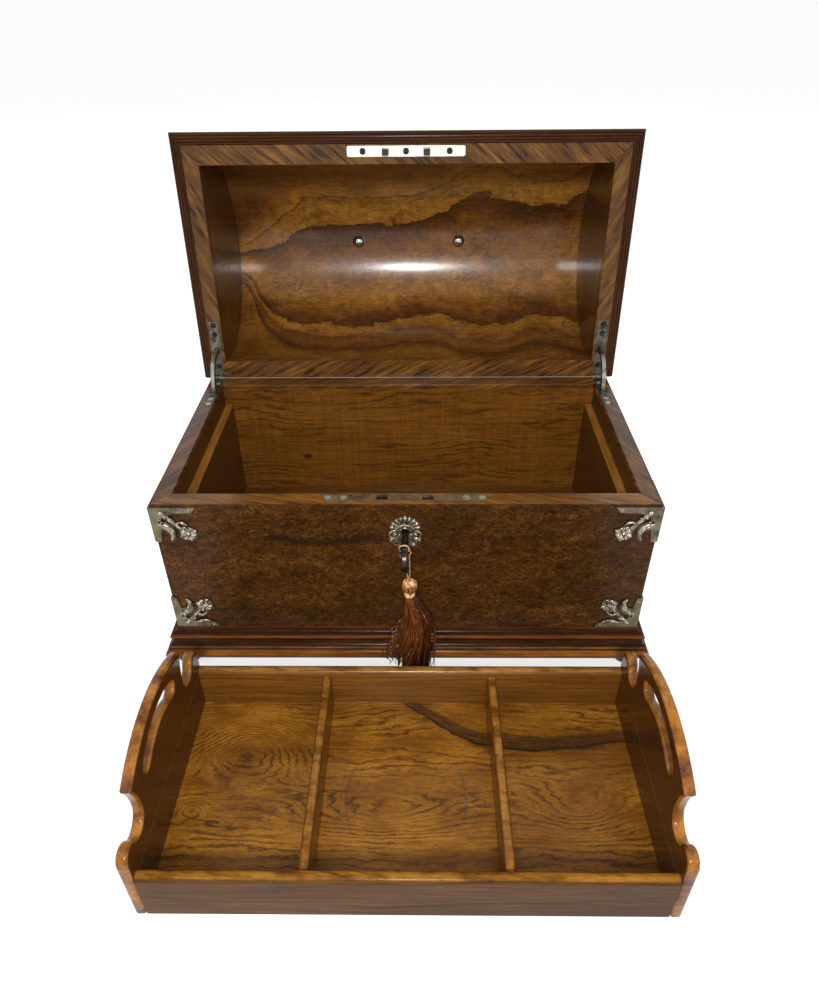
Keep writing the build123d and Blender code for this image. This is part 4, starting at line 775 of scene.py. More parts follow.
def ceiling_wood():
    """The lid's figured lining: dark bands that run along it between golden fields."""
    wood = Wood("figured_walnut_ceiling", on_lid=True)
    angle = wood.math("ARCTAN2", wood.y - HALF_DEPTH, wood.z - DOME_Z)
    arc = angle.scaled(DOME_RADIUS, HALF_DEPTH)
    flat = wood.join(wood.x, arc, 0)
    wood.set_grain(wood.x, arc, 0)
    upper = wood.course(
        wood.x, -190, 190,
        (
            (-190, 80), (-156, 86), (-132, 88), (-108, 99), (-85, 108), (-45, 107), (5, 113), (35, 121), (61, 137),
            (92, 129), (132, 124), (162, 140), (190, 146),
        ),
    )
    lower = wood.course(
        wood.x, -190, 190,
        (
            (-190, 74), (-156, 66), (-142, 47), (-124, 30), (-109, 24), (-40, 21), (17, 31), (48, 25), (80, 21),
            (118, 31), (158, 24), (190, 20),
        ),
    )
    ragged = wood.noise(flat, (30, 15, 1), 9, 0.66, 0.4)
    fine = wood.noise(flat, (8, 5, 1), 6, 0.7, 0.8)
    rise = (arc - lower) / (upper - lower)
    bend = ragged.scaled(0.34, fine * 0.08)
    level = rise - 0.21 + bend
    share = (level + STRATA_BELOW) / STRATA_RANGE
    gold, warm, amber = ((152, 105, 42), (136, 90, 35), (120, 76, 27))
    brown, dark, line = ((94, 58, 26), (78, 46, 22), (50, 28, 13))

    def spot(height):
        return (height + STRATA_BELOW) / STRATA_RANGE

    strata = wood.ramp(
        share,
        (
            (spot(-1.2), amber), (spot(-0.62), warm), (spot(-0.5), dark), (spot(-0.46), line), (spot(-0.42), brown),
            (spot(-0.34), amber), (spot(-0.24), brown), (spot(-0.19), warm), (spot(-0.1), gold), (spot(-0.062), line),
            (spot(-0.045), dark), (spot(0.03), brown), (spot(0.09), amber), (spot(0.24), gold), (spot(0.6), warm),
            (spot(0.8), amber), (spot(0.88), brown), (spot(0.98), dark), (spot(1.02), line), (spot(1.035), gold),
            (spot(1.2), gold), (spot(1.31), warm), (spot(1.33), line), (spot(1.35), gold), (spot(1.6), amber),
            (spot(2.0), brown),
        ),
    )
    strata = wood.mix(wood.lines(level * 17.0, 3.0) * 0.26, strata, dark)
    curls = wood.noise(flat, (24, 13, 1), 5, 0.62, 1.4)
    presence = wood.span(wood.noise(flat, (44, 26, 1), 2), 0.42, 0.6)
    thin = wood.math("MAXIMUM", wood.veins(curls, 0.5, 0.034), wood.veins(curls, 0.41, 0.026))
    strata = wood.mix(thin * (presence * 0.6), strata, line)
    strata = wood.varied(strata, wood.noise(flat, (17, 11, 1), 6, 0.68, 1.2), 0.36)
    strata = wood.varied(strata, wood.noise(flat, (4.0, 50, 1), 2, 0.5), 0.07)
    strata = wood.varied(strata, wood.noise(flat, (4.5, 3.0, 1), 3, 0.6), 0.13)
    strata = wood.mix(wood.span(arc, 60, -10) * 0.3, strata, brown)
    # Painted light: towards the top, the ceiling is lightened to a pale gold to make up for the shade there.
    strata = wood.mix(wood.span(arc, 112, 190, 0.0, 0.2), strata, (214, 154, 68))
    return wood.varnished(wood.shaded(strata, 0.1), 0.26, rounding=0, coat=0.32, shine=0.24)


def plain_wood(
    name, base, dark, axis="x", on_lid=False, spacing=6.0, wander=3.0, contrast=0.4, seed=0.0, gloss=0.3, amount=0.3,
    coat=0.12, shine=0.16, comb=0.0, knots=(), golden=None,
):
    """Straight-grained walnut whose grain runs along one axis."""
    wood = Wood(name, on_lid)
    along, across, deep = {
        "x": (wood.x, wood.y, wood.z),
        "xz": (wood.x, wood.z, wood.y),
        "y": (wood.y, wood.z, wood.x),
        "yx": (wood.y, wood.x, wood.z),
        "z": (wood.z, wood.x, wood.y),
    }[axis]
    wood.set_grain(along, across, deep, seed)
    extra = None
    for centre, reach, height in knots:
        swell = wood.hump(centre, reach, height)
        extra = swell if extra is None else extra + swell
    field = wood.growth(spacing, wander, seed=seed, extra=extra)
    presence = wood.span(wood.noise(wood.grain, (70, 12, 30), 3), 0.36, 0.62)
    ring_lines = wood.lines(field, 3.0) * presence.scaled(contrast * 0.8, contrast * 0.2)
    fine_lines = wood.lines(field * 2.7, 2.0) * (contrast * 0.4)
    colour = wood.shaded(base, amount)
    if golden:
        patches = wood.noise(wood.grain, (26, 7, 7), 4, 0.6)
        colour = wood.mix(wood.span(patches, 0.5, 0.66), colour, wood.shaded(golden, amount))
    colour = wood.mix(wood.math("MAXIMUM", ring_lines, fine_lines), colour, dark)
    if comb:
        colour = wood.varied(colour, wood.noise(wood.join(along, across * 0.05, deep), (2.6, 3.2, 60), 3, 0.55), comb)
    for centre, reach, height in knots:
        heart = wood.hump(centre, tuple(share * 0.42 for share in reach), 1.0)
        colour = wood.mix(wood.span(heart, 0.25, 0.7, 0.0, 0.85), colour, (48, 26, 12))
    return wood.varnished(colour, gloss, coat=coat, shine=shine)


def banded_wood(name, base, light, dark, on_lid, angles, mitred=False, seed=0.0, outer=None):
    """Crossbanding: oblique strokes; angles are those of the far, near, left and right strips, in degrees."""
    wood = Wood(name, on_lid)
    depth = wood.y + wood.z
    wide = abs(wood.x)
    far, near, left, right = (math.radians(angle) for angle in angles)
    rails = wood.blend(wood.math("GREATER_THAN", wood.y, 95.0 if on_lid else 0.0), near, far)
    stiles = wood.blend(wood.math("GREATER_THAN", wood.x, 0.0), left, right)
    above = (wood.y - 172) * 0.87
    below = (15 - wood.y) * 0.85
    corner = wide - 159 - wood.math("MAXIMUM", wood.math("MAXIMUM", above, below), 0.0)
    slant = wood.blend(wood.math("GREATER_THAN", corner, 0.0), rails, stiles) if mitred else stiles
    cosine, sine = wood.math("COSINE", slant), wood.math("SINE", slant)
    along = wood.x * cosine + depth * sine
    across = depth * cosine - wood.x * sine
    wood.set_grain(along, across, slant * 40.0, seed)
    streaks = wood.noise(wood.grain, (30, 3.4, 9), 5, 0.6)
    colour = wood.ramp(streaks, ((0.36, dark), (0.45, base), (0.52, base), (0.62, light)))
    colour = wood.varied(colour, wood.noise(wood.grain, (70, 11, 20), 3, 0.5), 0.2)
    reds = wood.span(wood.noise(wood.point, (52, 30, 30), 2), 0.47, 0.66)
    if outer:
        reds = wood.math("MAXIMUM", reds, wood.span(wide, outer - 3, outer + 6))
    colour = wood.mix(reds * 0.55, colour, (74, 43, 30))
    strokes = wood.span(wood.noise(wood.vector("ADD", wood.grain, (0, 50, 0)), (20, 1.9, 7), 3, 0.55), 0.6, 0.7)
    colour = wood.mix(strokes * 0.8, colour, dark)
    if mitred:
        joint = wood.span(abs(corner), 0.7, 0.2) * wood.span(wide, 158, 159.5)
        colour = wood.mix(joint * 0.6, colour, (40, 22, 12))
    return wood.varnished(wood.shaded(colour, 0.16), 0.28)


def burr_wood(name, base, light, dark, streak=False, on_lid=False):
    """Burr walnut: clouded and curled, with small eyes and short dark dashes."""
    wood = Wood(name, on_lid)
    across, deep = (wood.y, wood.z) if on_lid else (wood.z, wood.y)
    flat = wood.join(wood.x, across, deep)
    wood.set_grain(wood.x, across, deep, 3.0)
    clouds = wood.noise(flat, (52, 30, 40), 5, 0.6, 0.8)
    curls = wood.noise(flat, (14, 10, 12), 7, 0.66, 2.2)
    flecks = wood.noise(flat, (3.6, 2.6, 3.6), 5, 0.7, 1.6)
    colour = wood.ramp(flecks, ((0.34, dark), (0.48, base), (0.62, light)))
    colour = wood.varied(colour, clouds, 0.32, 0.38, 0.62)
    colour = wood.varied(colour, curls, 0.46, 0.4, 0.6)
    colour = wood.varied(colour, wood.noise(flat, (8, 6, 7), 5, 0.66, 2.0), 0.24)
    thin = wood.math("MAXIMUM", wood.veins(curls, 0.5, 0.036), wood.veins(curls, 0.6, 0.028))
    colour = wood.mix(thin * 0.55, colour, dark)
    glints = wood.veins(wood.noise(flat, (9, 7, 8), 5, 0.66, 1.8), 0.53, 0.035)
    colour = wood.mix(glints * 0.4, colour, light)
    eyes = wood.spots(flat, (13, 10, 13), 0.1) * wood.span(clouds, 0.45, 0.6)
    colour = wood.mix(eyes * 0.7, colour, (40, 22, 10))
    dashes = wood.span(wood.noise(flat, (11, 1.3, 8), 2, 0.4), 0.68, 0.74)
    colour = wood.mix(dashes * 0.7, colour, (50, 24, 10))
    if streak:
        path = wood.course(
            wood.x, -180, 180, ((-180, 128), (-110, 124), (-60, 118), (-35, 121), (0, 122), (60, 116), (180, 112)),
        )
        gap = abs(curls.scaled(14.0, wood.z) - (path + 7.0))
        reach = wood.span(abs(wood.x + 58), 60, 25)
        band = wood.span(gap, 6.0, 0.6) * reach
        colour = wood.mix(band * 0.85, colour, (34, 20, 12))
        colour = wood.mix(
            wood.span(wood.x, -140, 190, 0.0, 0.5), colour, wood.mix(1.0, colour, (0.6, 0.55, 0.5, 1), "MULTIPLY"),
        )
    return wood.varnished(wood.shaded(colour, 0.08), 0.36, coat=0.05, shine=0.09)


def moulding_wood(name, at_side):
    """The lid's edge moulding: dark, with reeds painted along it: a painted highlight on each reed's crest and painted
    shade in each groove.
    """
    wood = Wood(name, True)
    outward = abs(wood.x) - 171.2 if at_side else wood.y - 186.0
    wood.set_grain(wood.y if at_side else wood.x, outward, wood.z, 17.0)
    colour = wood.varied((60, 34, 17), wood.noise(wood.grain, (48, 5, 6), 5, 0.6), 0.34)
    # Painted highlight along each reed's crest.
    painted_crest_light = wood.lines(outward.scaled(1 / 2.2, 0.5), 3.0)
    colour = wood.mix(painted_crest_light * 0.4, colour, (96, 60, 30))
    # Painted shade in each groove between the reeds.
    painted_groove_shade = wood.lines(outward / 2.2, 6.0)
    colour = wood.mix(painted_groove_shade * 0.75, wood.shaded(colour, 0.22), (20, 10, 5))
    return wood.varnished(colour, 0.24, coat=0.04, shine=0.04)


def plinth_wood(name, at_side):
    """The plinth's mouldings: colour in bands by height, with painted highlights on the rounds and painted shade in the
    hollows.
    """
    wood = Wood(name)
    wood.set_grain(wood.y if at_side else wood.x, wood.z, wood.x if at_side else wood.y, 37.0)
    shadow, hollow_shade, brown, lit, gold = ((36, 19, 8), (64, 35, 14), (94, 51, 17), (130, 78, 28), (150, 92, 34))
    # Painted light by height: the lit and golden bands are painted highlights on the torus and beads, and the darkest
    # bands are painted shade in the coves and under the rounds. The darkest tone also colours the growth rings.
    heights = (
        (8, shadow), (9.4, hollow_shade), (11.6, brown), (15.6, gold), (17.6, lit), (18.7, shadow), (19.3, shadow),
        (19.8, lit), (20.5, lit), (21.2, shadow), (24.2, hollow_shade), (26.4, shadow), (27.3, brown), (29.2, lit),
        (30.3, brown), (30.8, shadow), (33.4, hollow_shade), (35.4, brown),
    )
    colour = wood.ramp((wood.z - 8) / 28, tuple((((height - 8) / 28, shade) for height, shade in heights)))
    colour = wood.varied(colour, wood.noise(wood.grain, (30, 6, 8), 5, 0.62), 0.36)
    rings = wood.lines(wood.growth(3.4, 3.0, seed=37.0), 3.0)
    colour = wood.mix(rings * 0.4, wood.shaded(colour, 0.26), shadow)
    return wood.varnished(colour, 0.2, coat=0.05, shine=0.05)


def liner_wood():
    """The liners that the tray rests on: dark faces and a worn golden top edge."""
    wood = Wood("walnut_liner")
    wood.set_grain(wood.y, wood.z, wood.x, 59)
    face = wood.mix(wood.lines(wood.growth(6.0, 3.0), 3.0) * 0.4, (82, 49, 20), (48, 27, 11))
    edge = wood.varied((138, 92, 38), wood.noise(wood.grain, (30, 4, 4), 4, 0.6), 0.3)
    colour = wood.mix(wood.span(wood.z, 129.8, 130.6), face, edge)
    return wood.varnished(wood.shaded(colour, 0.24), 0.34, coat=0.05)


def tray_floor_wood():
    """The tray's golden floor: swirled and eyed growth lines, a black streak and two worn arcs."""
    wood = Wood("figured_walnut_tray_floor")
    wood.set_grain(wood.x, wood.y, 0, 5.0)
    swirl = wood.hump((-108, -182, 5), (36, 26, 400), -9.5)
    eye = wood.hump((-6, -232, 5), (46, 15, 400), 4.6)
    turn = wood.hump((112, -228, 5), (28, 20, 400), 4.0)
    knot = wood.hump((-137, -228, 5), (9, 7, 400), -3.0)
    lift = wood.hump((10, -160, 5), (60, 30, 400), -3.0)
    total = swirl + eye + (turn + knot + lift)
    field = wood.growth(5.0, 5.2, (80, 20, 60), total, 2.0)
    fine = wood.noise(wood.point, (13, 5, 10), 6, 0.66, 0.8)
    field = fine.scaled(1.1, field)
    presence = wood.span(wood.noise(wood.grain, (50, 16, 30), 4), 0.38, 0.58)
    major = wood.lines(field, 4.0) * presence.scaled(0.62, 0.24)
    minor = wood.lines(fine.scaled(0.9, field * 2.6), 2.0)
    clouds = wood.noise(wood.point, (46, 24, 60), 4, 0.58)
    base = wood.ramp(clouds, ((0.34, (124, 78, 20)), (0.5, (148, 98, 29)), (0.66, (166, 114, 38))))
    colour = wood.mix(minor * 0.42, base, (92, 54, 17))
    colour = wood.mix(major, colour, (70, 40, 15))
    colour = wood.varied(colour, wood.noise(wood.point, (7, 3.4, 6), 4, 0.66, 0.6), 0.16)
    path = wood.course(
        wood.x, -30, 190,
        ((-30, -130), (-4, -138), (5, -144), (24, -158), (47, -172), (70, -177), (98, -178), (153, -171), (190, -165)),
    )
    offset = fine.scaled(6.0, wood.y - 3.0) - path
    start = wood.span(wood.x, -8, 2)
    thick = wood.span(wood.x, -8, 40, 3.0, 7.0) * wood.span(wood.x, 190, 120, 0.6, 1.0)
    band = wood.span(abs(offset) / thick, 1.1, 0.5) * start
    colour = wood.mix(band * 0.7, colour, (60, 42, 27))
    threads = wood.lines(offset / 2.3, 3.0)
    colour = wood.mix(threads * band * 0.7, colour, (34, 21, 13))
    edge = wood.span(abs(offset + 4.4), 1.6, 0.3) * start
    colour = wood.mix(edge * 0.85, colour, (24, 15, 10))
    ring = wood.vector(
        "LENGTH", wood.vector("DIVIDE", wood.vector("SUBTRACT", wood.point, (1, -220, 5)), (39, 47, 400)), (0, 0, 0),
    )
    worn = wood.span(abs(ring - 1.0), 0.05, 0.0)
    flanks = wood.span(abs(wood.x - 1), 30, 38)
    colour = wood.mix(worn * flanks * 0.5, colour, (84, 62, 52))
    specks = wood.span(wood.noise(wood.point, (4.2, 1.6, 4), 1), 0.72, 0.8)
    colour = wood.mix(specks * 0.7, colour, (84, 40, 14))
    colour = wood.mix(wood.span(wood.x, 40, 130, 0.0, 0.24), colour, (84, 50, 14))
    return wood.varnished(wood.shaded(colour, 0.1), 0.32, rounding=0, coat=0.1, shine=0.14)


def tray_end_wood():
    """The tray's ends: plain red-brown faces and polished golden edges."""
    wood = Wood("walnut_tray_end")
    wood.set_grain(wood.y, wood.z, wood.x, 7.0)
    field = wood.growth(7.0, 2.5)
    face = wood.mix(wood.lines(field, 4.0) * 0.3, (74, 42, 18), (50, 27, 11))
    joint = wood.span(abs(wood.z - 34), 0.55, 0.15)
    face = wood.mix(joint * 0.5, face, (150, 112, 80))
    patches = wood.noise(wood.point, (15, 15, 11), 5, 0.62)
    rim = wood.ramp(patches, ((0.3, (70, 34, 10)), (0.45, (128, 76, 22)), (0.6, (170, 112, 40)), (0.76, (112, 58, 16))))
    sideways = abs(wood.split(wood.normal)[0])
    colour = wood.mix(wood.span(sideways, 0.92, 0.7), face, rim)
    return wood.varnished(wood.shaded(colour, 0.2), 0.22, rounding=0.4, coat=0.25, shine=0.16)


def tray_board_wood(name, face_tone, top_z, dark, seed, face_dark=None, coat=0.2, shine=0.16):
    """A tray board: even grain on its faces, a bright worn top edge with dark patches."""
    wood = Wood(name)
    lengthwise, sideways = (wood.x, wood.y) if seed < 20 else (wood.y, wood.x)
    wood.set_grain(lengthwise, wood.z + sideways, sideways, seed)
    field = wood.growth(4.6, 4.2, (90, 20, 60), seed=seed)
    face = wood.mix(wood.lines(field, 3.0) * 0.42, face_tone, dark)
    face = wood.varied(face, wood.noise(wood.grain, (60, 4, 9), 5, 0.6), 0.16)
    if face_dark:
        path = wood.course(wood.x, -170, 170, ((-170, 14), (-20, 9), (30, 14), (80, 16), (170, 18)))
        gap = abs(wood.fibres.scaled(2.0, wood.z) - path)
        reach = wood.span(abs(wood.x - 40), 80, 30)
        face = wood.mix(wood.span(gap, 2.0, 0.2) * reach * 0.7, face, face_dark)
        face = wood.mix(wood.span(wood.x, 20, 170, 0.0, 0.4), face, dark)
    slant = wood.y.scaled(1.6, wood.x)
    patches = wood.noise(wood.join(slant, wood.y, wood.z), (20, 7, 7), 5, 0.64)
    edge = wood.ramp(
        patches, ((0.3, (76, 40, 12)), (0.44, (120, 76, 22)), (0.58, (154, 106, 37)), (0.74, (132, 84, 25))),
    )
    blots = wood.span(wood.noise(wood.grain, (16, 5, 5), 4, 0.6), 0.64, 0.7)
    edge = wood.mix(blots * 0.7, edge, (46, 22, 9))
    colour = wood.mix(wood.span(wood.z, top_z - 1.6, top_z - 0.5), face, edge)
    return wood.varnished(wood.shaded(colour, 0.2), 0.26, rounding=0.6, coat=coat, shine=shine)


def metal(
    name, light, dark, rough, patch=9.0, brush=(1, 1, 1), scratch=0.03, tint=None, on_lid=False, metallic=1.0,
    rounding=0.15, holes=None,
):
    """A metal with tarnish in patches, fine brushing and small dents."""
    finish = Finish(name, on_lid)
    clouds = finish.noise(finish.point, (patch, patch, patch), 4, 0.62)
    brushed = finish.noise(finish.point, tuple(0.5 * share for share in brush), 3, 0.6)
    grit = finish.span(finish.noise(finish.point, (1.3, 1.3, 1.3), 3, 0.6), 0.56, 0.7)
    colour = finish.ramp(clouds, ((0.34, dark), (0.6, light)))
    if tint:
        colour = finish.mix(
            finish.span(finish.noise(finish.point, (17, 17, 17), 2), 0.48, 0.66, 0.0, 0.7), colour, tint,
        )
    colour = finish.mix(grit * 0.4, colour, finish.mix(1.0, colour, (0.4, 0.37, 0.3, 1), "MULTIPLY"))
    colour = finish.mix(
        1.0, colour, finish.ramp(brushed, ((0.3, (0.86, 0.86, 0.86, 1)), (0.7, (1.08, 1.08, 1.08, 1)))), "MULTIPLY",
    )
    if holes:
        apart, level, reach = holes
        sideways = abs(abs(finish.x) - apart)
        upward = abs(finish.y - level)
        hole = finish.span(finish.math("MAXIMUM", sideways, upward), reach + 0.2, reach - 0.2)
        colour = finish.mix(hole, colour, (40, 37, 34))
    roughness = clouds.scaled(-0.16, rough + 0.08)
    roughness = grit.scaled(0.18, roughness)
    height = brushed * 0.4 + clouds
    return finish.done(colour, roughness, height, scratch, rounding, metallic=metallic)


def silk(name, base, light, dark, thread, pale=None, fanned=False):
    """Silk strands: fine lengthwise threads; a fanned skirt's threads follow its spread and carry painted light, shade
    and glints; a head gets a painted highlight on its top.
    """
    finish = Finish(name)
    point = finish.point
    if fanned:
        left = finish.course(finish.z, 0, 100, tuple((level, edges[0]) for level, *edges in reversed(SKIRT_LEVELS)))
        right = finish.course(finish.z, 0, 100, tuple((level, edges[1]) for level, *edges in reversed(SKIRT_LEVELS)))
        share = (finish.x - left) / (right - left)
        point = finish.join(share * 30.0, finish.y, finish.z)
    lengthwise = finish.noise(point, (thread, thread * 1.6, 90), 3, 0.6)
    strands = finish.noise(point, (thread * 2.6, thread * 4, 120), 2, 0.5)
    colour = finish.ramp(lengthwise, ((0.34, dark), (0.46, base), (0.56, base), (0.7, light)))
    colour = finish.varied(colour, strands, 0.3)
    if fanned:
        # Painted light across the skirt: a lit band left of the middle, with painted shade at the left edge and on the
        # right third.
        shade = finish.ramp(
            share,
            (
                (0.0, (0.7, 0.66, 0.6, 1)), (0.3, (1.25, 1.2, 1.1, 1)), (0.5, (1.15, 1.12, 1.05, 1)),
                (0.74, (0.5, 0.46, 0.42, 1)), (1.0, (0.42, 0.4, 0.38, 1)),
            ),
        )
        colour = finish.mix(1.0, colour, shade, "MULTIPLY")
        # Painted shade towards the bottom of the skirt, with painted light above it.
        low = finish.mix(finish.span(finish.z, 60, 20), (1.15, 1.15, 1.15, 1), (0.62, 0.58, 0.55, 1))
        colour = finish.mix(1.0, colour, low, "MULTIPLY")
        glints = finish.span(finish.noise(point, (thread * 1.5, thread * 3, 16), 2, 0.5), 0.69, 0.74)
        colour = finish.mix(glints * 0.75, colour, (224, 196, 164))
    if pale:
        # Painted highlight on the top of the head, plus a lighter band at the neck.
        lit_crown = finish.span(finish.z, pale, pale + 2.5)
        neck = finish.span(finish.z, 90.5, 89) * finish.span(finish.z, 85.5, 87)
        folds = finish.span(finish.noise(finish.point, (2.2, 2.2, 2.6), 3, 0.5), 0.42, 0.56)
        colour = finish.mix(finish.math("MAXIMUM", lit_crown, neck) * (folds * 0.85), colour, light)
    twist = finish.noise(finish.point, (0.5, 0.5, 1.1), 2, 0.5)
    roughness = lengthwise.scaled(-0.2, 0.5)
    return finish.done(colour, roughness, twist, 0.05, 0, specular_ior_level=0.14)


def dress(material, *names):
    """Gives a finish to CAD nodes, by name."""
    for name in names:
        node = NODES[name]
        if not node.material_slots:
            node.data.materials.append(material)
        for holder in node.material_slots:
            holder.material = material


# Finishes of the CAD nodes and of the detail pieces
dress(ceiling_wood(), "lid_dome")
dress(
    plain_wood(
        "walnut_lid_end", (80, 50, 21), (50, 30, 13), "yx", True, 4.0, 2.0, 0.4, 11, 0.26, 0.2, comb=0.05, coat=0.3,
        shine=0.24,
    ),
    "lid_end_left", "lid_end_right",
)
dress(
    banded_wood(
        "walnut_lid_crossband", (100, 66, 29), (132, 92, 41), (44, 25, 12), True, (-40, 27, -62, 60), True, 13,
        outer=168,
    ),
    "lid_frame",
)
dress(moulding_wood("walnut_lid_moulding", False), "lid_moulding_front")
dress(moulding_wood("walnut_lid_moulding_side", True), "lid_moulding_left", "lid_moulding_right")
dress(burr_wood("walnut_lid_veneer", (84, 51, 20), (112, 72, 30), (52, 29, 12), on_lid=True), "lid_veneers")
dress(burr_wood("burr_walnut_front", (74, 45, 17), (104, 68, 27), (42, 23, 9), streak=True), "veneer_front")
dress(
    plain_wood("walnut_side_veneer", (86, 52, 20), (48, 28, 12), "xz", False, 8.0, 5.0, 0.5, 19, 0.34, 0.3, comb=0.08),
    "veneers_sides_back",
)
RIM = ((118, 76, 25), (143, 96, 34), (79, 47, 16))
dress(banded_wood("walnut_rim_front", *RIM, False, (-16, -16, -16, -16), seed=23), "rim_front")
dress(
    banded_wood("walnut_rim_back", (96, 60, 24), (122, 80, 34), (58, 33, 14), False, (20, 20, 20, 20), seed=29),
    "rim_back",
)
dress(
    banded_wood("walnut_rim_side", (86, 55, 28), (118, 80, 42), (50, 29, 14), False, (60, 60, 58, 122), seed=31),
    "rim_left", "rim_right",
)
dress(plinth_wood("walnut_plinth", False), "plinth_front", "plinth_back")
dress(plinth_wood("walnut_plinth_side", True), "plinth_left", "plinth_right")
dress(
    plain_wood(
        "walnut_feet", (96, 52, 20), (44, 22, 9), "z", False, 4.0, 2.0, 0.5, 43, 0.2, coat=0.3, golden=(128, 76, 30),
    ),
    "feet",
)
KNOT = (((-93, 82, 77), (11.0, 400, 7.5), 3.0),)
dress(
    plain_wood(
        "walnut_inner_back", (120, 76, 26), (58, 33, 11), "xz", False, 7.0, 7.5, 0.8, 47, 0.3, 0.32, coat=0.06,
        comb=0.11, knots=KNOT,
    ),
    "case_back",
)
dress(
    plain_wood("walnut_inner_end", (76, 46, 20), (42, 24, 11), "y", False, 6.0, 3.0, 0.4, 53, 0.4, 0.25, coat=0.05),
    "case_left", "case_right",
)
dress(liner_wood(), "end_liners")
dress(
    plain_wood("walnut_carcass", (104, 66, 26), (60, 35, 14), "x", False, 7.0, 3.0, 0.45, 61, 0.4, coat=0.05),
    "case_front", "case_bottom",
)
dress(
    plain_wood("walnut_base", (96, 66, 38), (58, 38, 22), "x", False, 9.0, 3.0, 0.45, 67, 0.6, coat=0.0), "base_board",
)
dress(tray_floor_wood(), "tray_floor")
dress(tray_end_wood(), "tray_end_left", "tray_end_right")
dress(tray_board_wood("walnut_tray_front", (97, 66, 37), 38, (62, 40, 22), 3, (46, 33, 22), 0.04, 0.05), "tray_front")
dress(tray_board_wood("walnut_tray_back", (122, 78, 28), 38, (74, 44, 16), 9), "tray_back")
dress(
    tray_board_wood("walnut_tray_divider", (100, 62, 26), 33, (62, 36, 16), 21), "tray_divider_left",
    "tray_divider_right",
)

PEWTER = metal("aged_nickel", (130, 123, 104), (72, 67, 54), 0.38, 9, tint=(112, 103, 68))
dress(
    PEWTER, "corner_mount_top_left", "corner_mount_top_right", "corner_mount_bottom_left", "corner_mount_bottom_right",
)
SILVER = metal("aged_silver", (188, 178, 160), (66, 58, 46), 0.28, 2.4, scratch=0.06)
dress(SILVER, "escutcheon")
dress(
    metal("worn_silver_handle", (184, 174, 154), (112, 103, 86), 0.3, 10, tint=(150, 138, 108)), "handle_bail",
    "handle_posts",
)
dress(metal("tarnished_selvedge", (132, 112, 78), (84, 66, 42), 0.42, 12, (30, 1, 1), metallic=0.6), "lock_selvedge")
# Link plate: a pale metal whose near-white colour is partly painted glare.
dress(
    metal(
        "glare_white_link_plate", (250, 246, 236), (214, 208, 192), 0.34, 12, (24, 1, 1), 0.01, on_lid=True, metallic=0.55,
        holes=(15.7, 181, 2.5),
    ),
    "link_plate",
)
dress(metal("blackened_screws", (64, 62, 60), (16, 15, 14), 0.28, 2.0), "lid_screws")
dress(metal("bright_screws", (212, 206, 194), (120, 114, 102), 0.28, 2.0, metallic=0.7), "case_screws")
STEEL = metal("brushed_steel", (168, 165, 155), (92, 89, 80), 0.3, 7, (1, 1, 20))
LEAF_STEEL = metal("dull_leaf_steel", (116, 113, 102), (62, 60, 52), 0.4, 6, (1, 1, 12))
dress(STEEL, "stay_left", "stay_right", "hinge_pins")
dress(LEAF_STEEL, "hinge_leaf_case_left", "hinge_leaf_case_right", "hinge_leaf_lid_left", "hinge_leaf_lid_right")
dress(
    metal("lock_steel", (140, 134, 124), (78, 72, 64), 0.4, 11), "lock_case", "lock_cover", "lock_spring", "lock_bolt",
)
dress(metal("dark_key_steel", (70, 64, 58), (26, 23, 21), 0.3, 5, rounding=0.3), "key")
CHROME = metal("bright_nut", (214, 214, 210), (120, 120, 118), 0.12, 3)
SILK_GOLD = silk("silk_gold", (150, 86, 32), (250, 212, 154), (72, 34, 10), 1.2, pale=96.5)
SILK_CREAM = silk("silk_cream", (186, 146, 106), (222, 190, 150), (128, 90, 58), 1.2)
SILK_BROWN = silk("silk_brown", (88, 45, 17), (176, 108, 50), (38, 17, 6), 0.75, fanned=True)
SILK_STRAY = silk("silk_stray", (92, 52, 22), (190, 140, 84), (40, 19, 7), 1.2)

escutcheon_relief(SILVER)
corner_reliefs(SILVER)
domed_nuts(CHROME)
tassel_cord(SILK_CREAM)
tassel_head(SILK_GOLD)
tassel_skirt(SILK_BROWN, SILK_STRAY)
for hidden in ("tassel_cord", "tassel_head", "tassel_skirt", "handle_nuts"):
    dress(SILK_BROWN if "tassel" in hidden else CHROME, hidden)


# Floor, backdrop light and lamps
def area_lamp(name, spot, target, size, watts):
    data = bpy.data.lights.new(name, "AREA")
    data.shape = "DISK"
    data.size = size
    data.energy = watts
    lamp = bpy.data.objects.new(name, data)
    bpy.context.collection.objects.link(lamp)
    lamp.location = spot
    lamp.rotation_mode = "QUATERNION"
    lamp.rotation_quaternion = (Vector(target) - Vector(spot)).to_track_quat("-Z", "Y")


area_lamp("key_lamp", (-0.008, -0.86, 0.72), (0, 0, 0.12), 0.16, 7.0)
area_lamp("left_fill", (-1.7, -0.7, 1.6), (0, 0, 0.1), 2.4, 11)
area_lamp("right_fill", (1.7, -0.7, 1.6), (0, 0, 0.1), 2.4, 11)
area_lamp("back_fill", (0, 2.0, 1.5), (0, 0, 0.15), 2.4, 8)


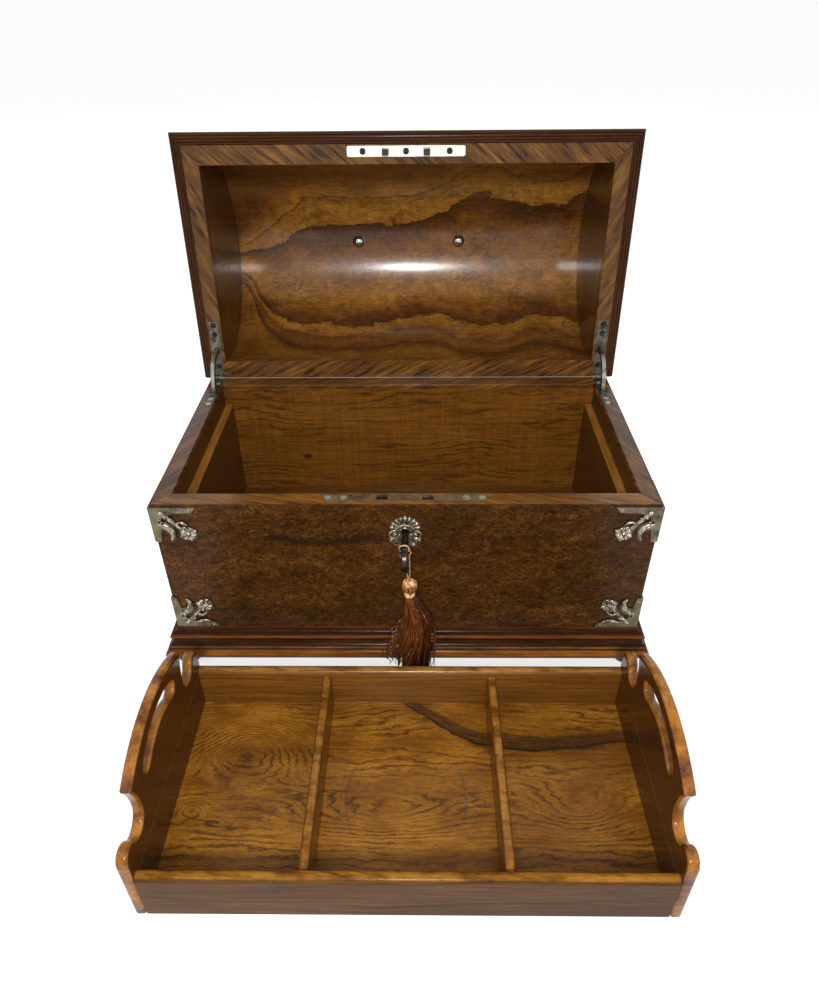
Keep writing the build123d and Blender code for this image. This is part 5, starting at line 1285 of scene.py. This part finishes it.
def seen_directly(tree):
    """1 for rays from the camera, from a reflection or through something clear, 0 for the rest."""
    rays = tree.nodes.new("ShaderNodeLightPath")
    seen = rays.outputs["Is Camera Ray"]
    for kind in ("Is Glossy Ray", "Is Transmission Ray"):
        either = tree.nodes.new("ShaderNodeMath")
        either.operation = "MAXIMUM"
        tree.links.new(seen, either.inputs[0])
        tree.links.new(rays.outputs[kind], either.inputs[1])
        seen = either.outputs[0]
    return seen


def white_floor():
    """A plain pale floor that keeps the object's shadow."""
    mesh = bpy.data.meshes.new("floor")
    bm = bmesh.new()
    bmesh.ops.create_grid(bm, x_segments=1, y_segments=1, size=20)
    bm.to_mesh(mesh)
    bm.free()
    floor = bpy.data.objects.new("floor", mesh)
    bpy.context.collection.objects.link(floor)
    material = bpy.data.materials.new("floor")
    material.use_nodes = True
    nodes, links = material.node_tree.nodes, material.node_tree.links
    shader = nodes["Principled BSDF"]
    shader.inputs["Base Color"].default_value = (0.5, 0.5, 0.5, 1)
    shader.inputs["Roughness"].default_value = 0.9
    shader.inputs["Specular IOR Level"].default_value = 0.1
    through = seen_directly(material.node_tree)
    lift = nodes.new("ShaderNodeMath")
    lift.operation = "MULTIPLY"
    lift.inputs[1].default_value = 0.72
    links.new(through, lift.inputs[0])
    links.new(lift.outputs[0], shader.inputs["Emission Strength"])
    shader.inputs["Emission Color"].default_value = (1, 1, 1, 1)
    mesh.materials.append(material)


white_floor()
world = bpy.data.worlds.new("world")
world.use_nodes = True
bpy.context.scene.world = world
back = world.node_tree.nodes["Background"]
back.inputs["Color"].default_value = (1, 1, 1, 1)
sky_through = seen_directly(world.node_tree)
sky_strength = world.node_tree.nodes.new("ShaderNodeMapRange")
sky_strength.inputs["To Min"].default_value = 0.44
sky_strength.inputs["To Max"].default_value = 0.82
world.node_tree.links.new(sky_through, sky_strength.inputs["Value"])
world.node_tree.links.new(sky_strength.outputs[0], back.inputs["Strength"])
bpy.context.scene.view_settings.view_transform = "Standard"


place_camera()
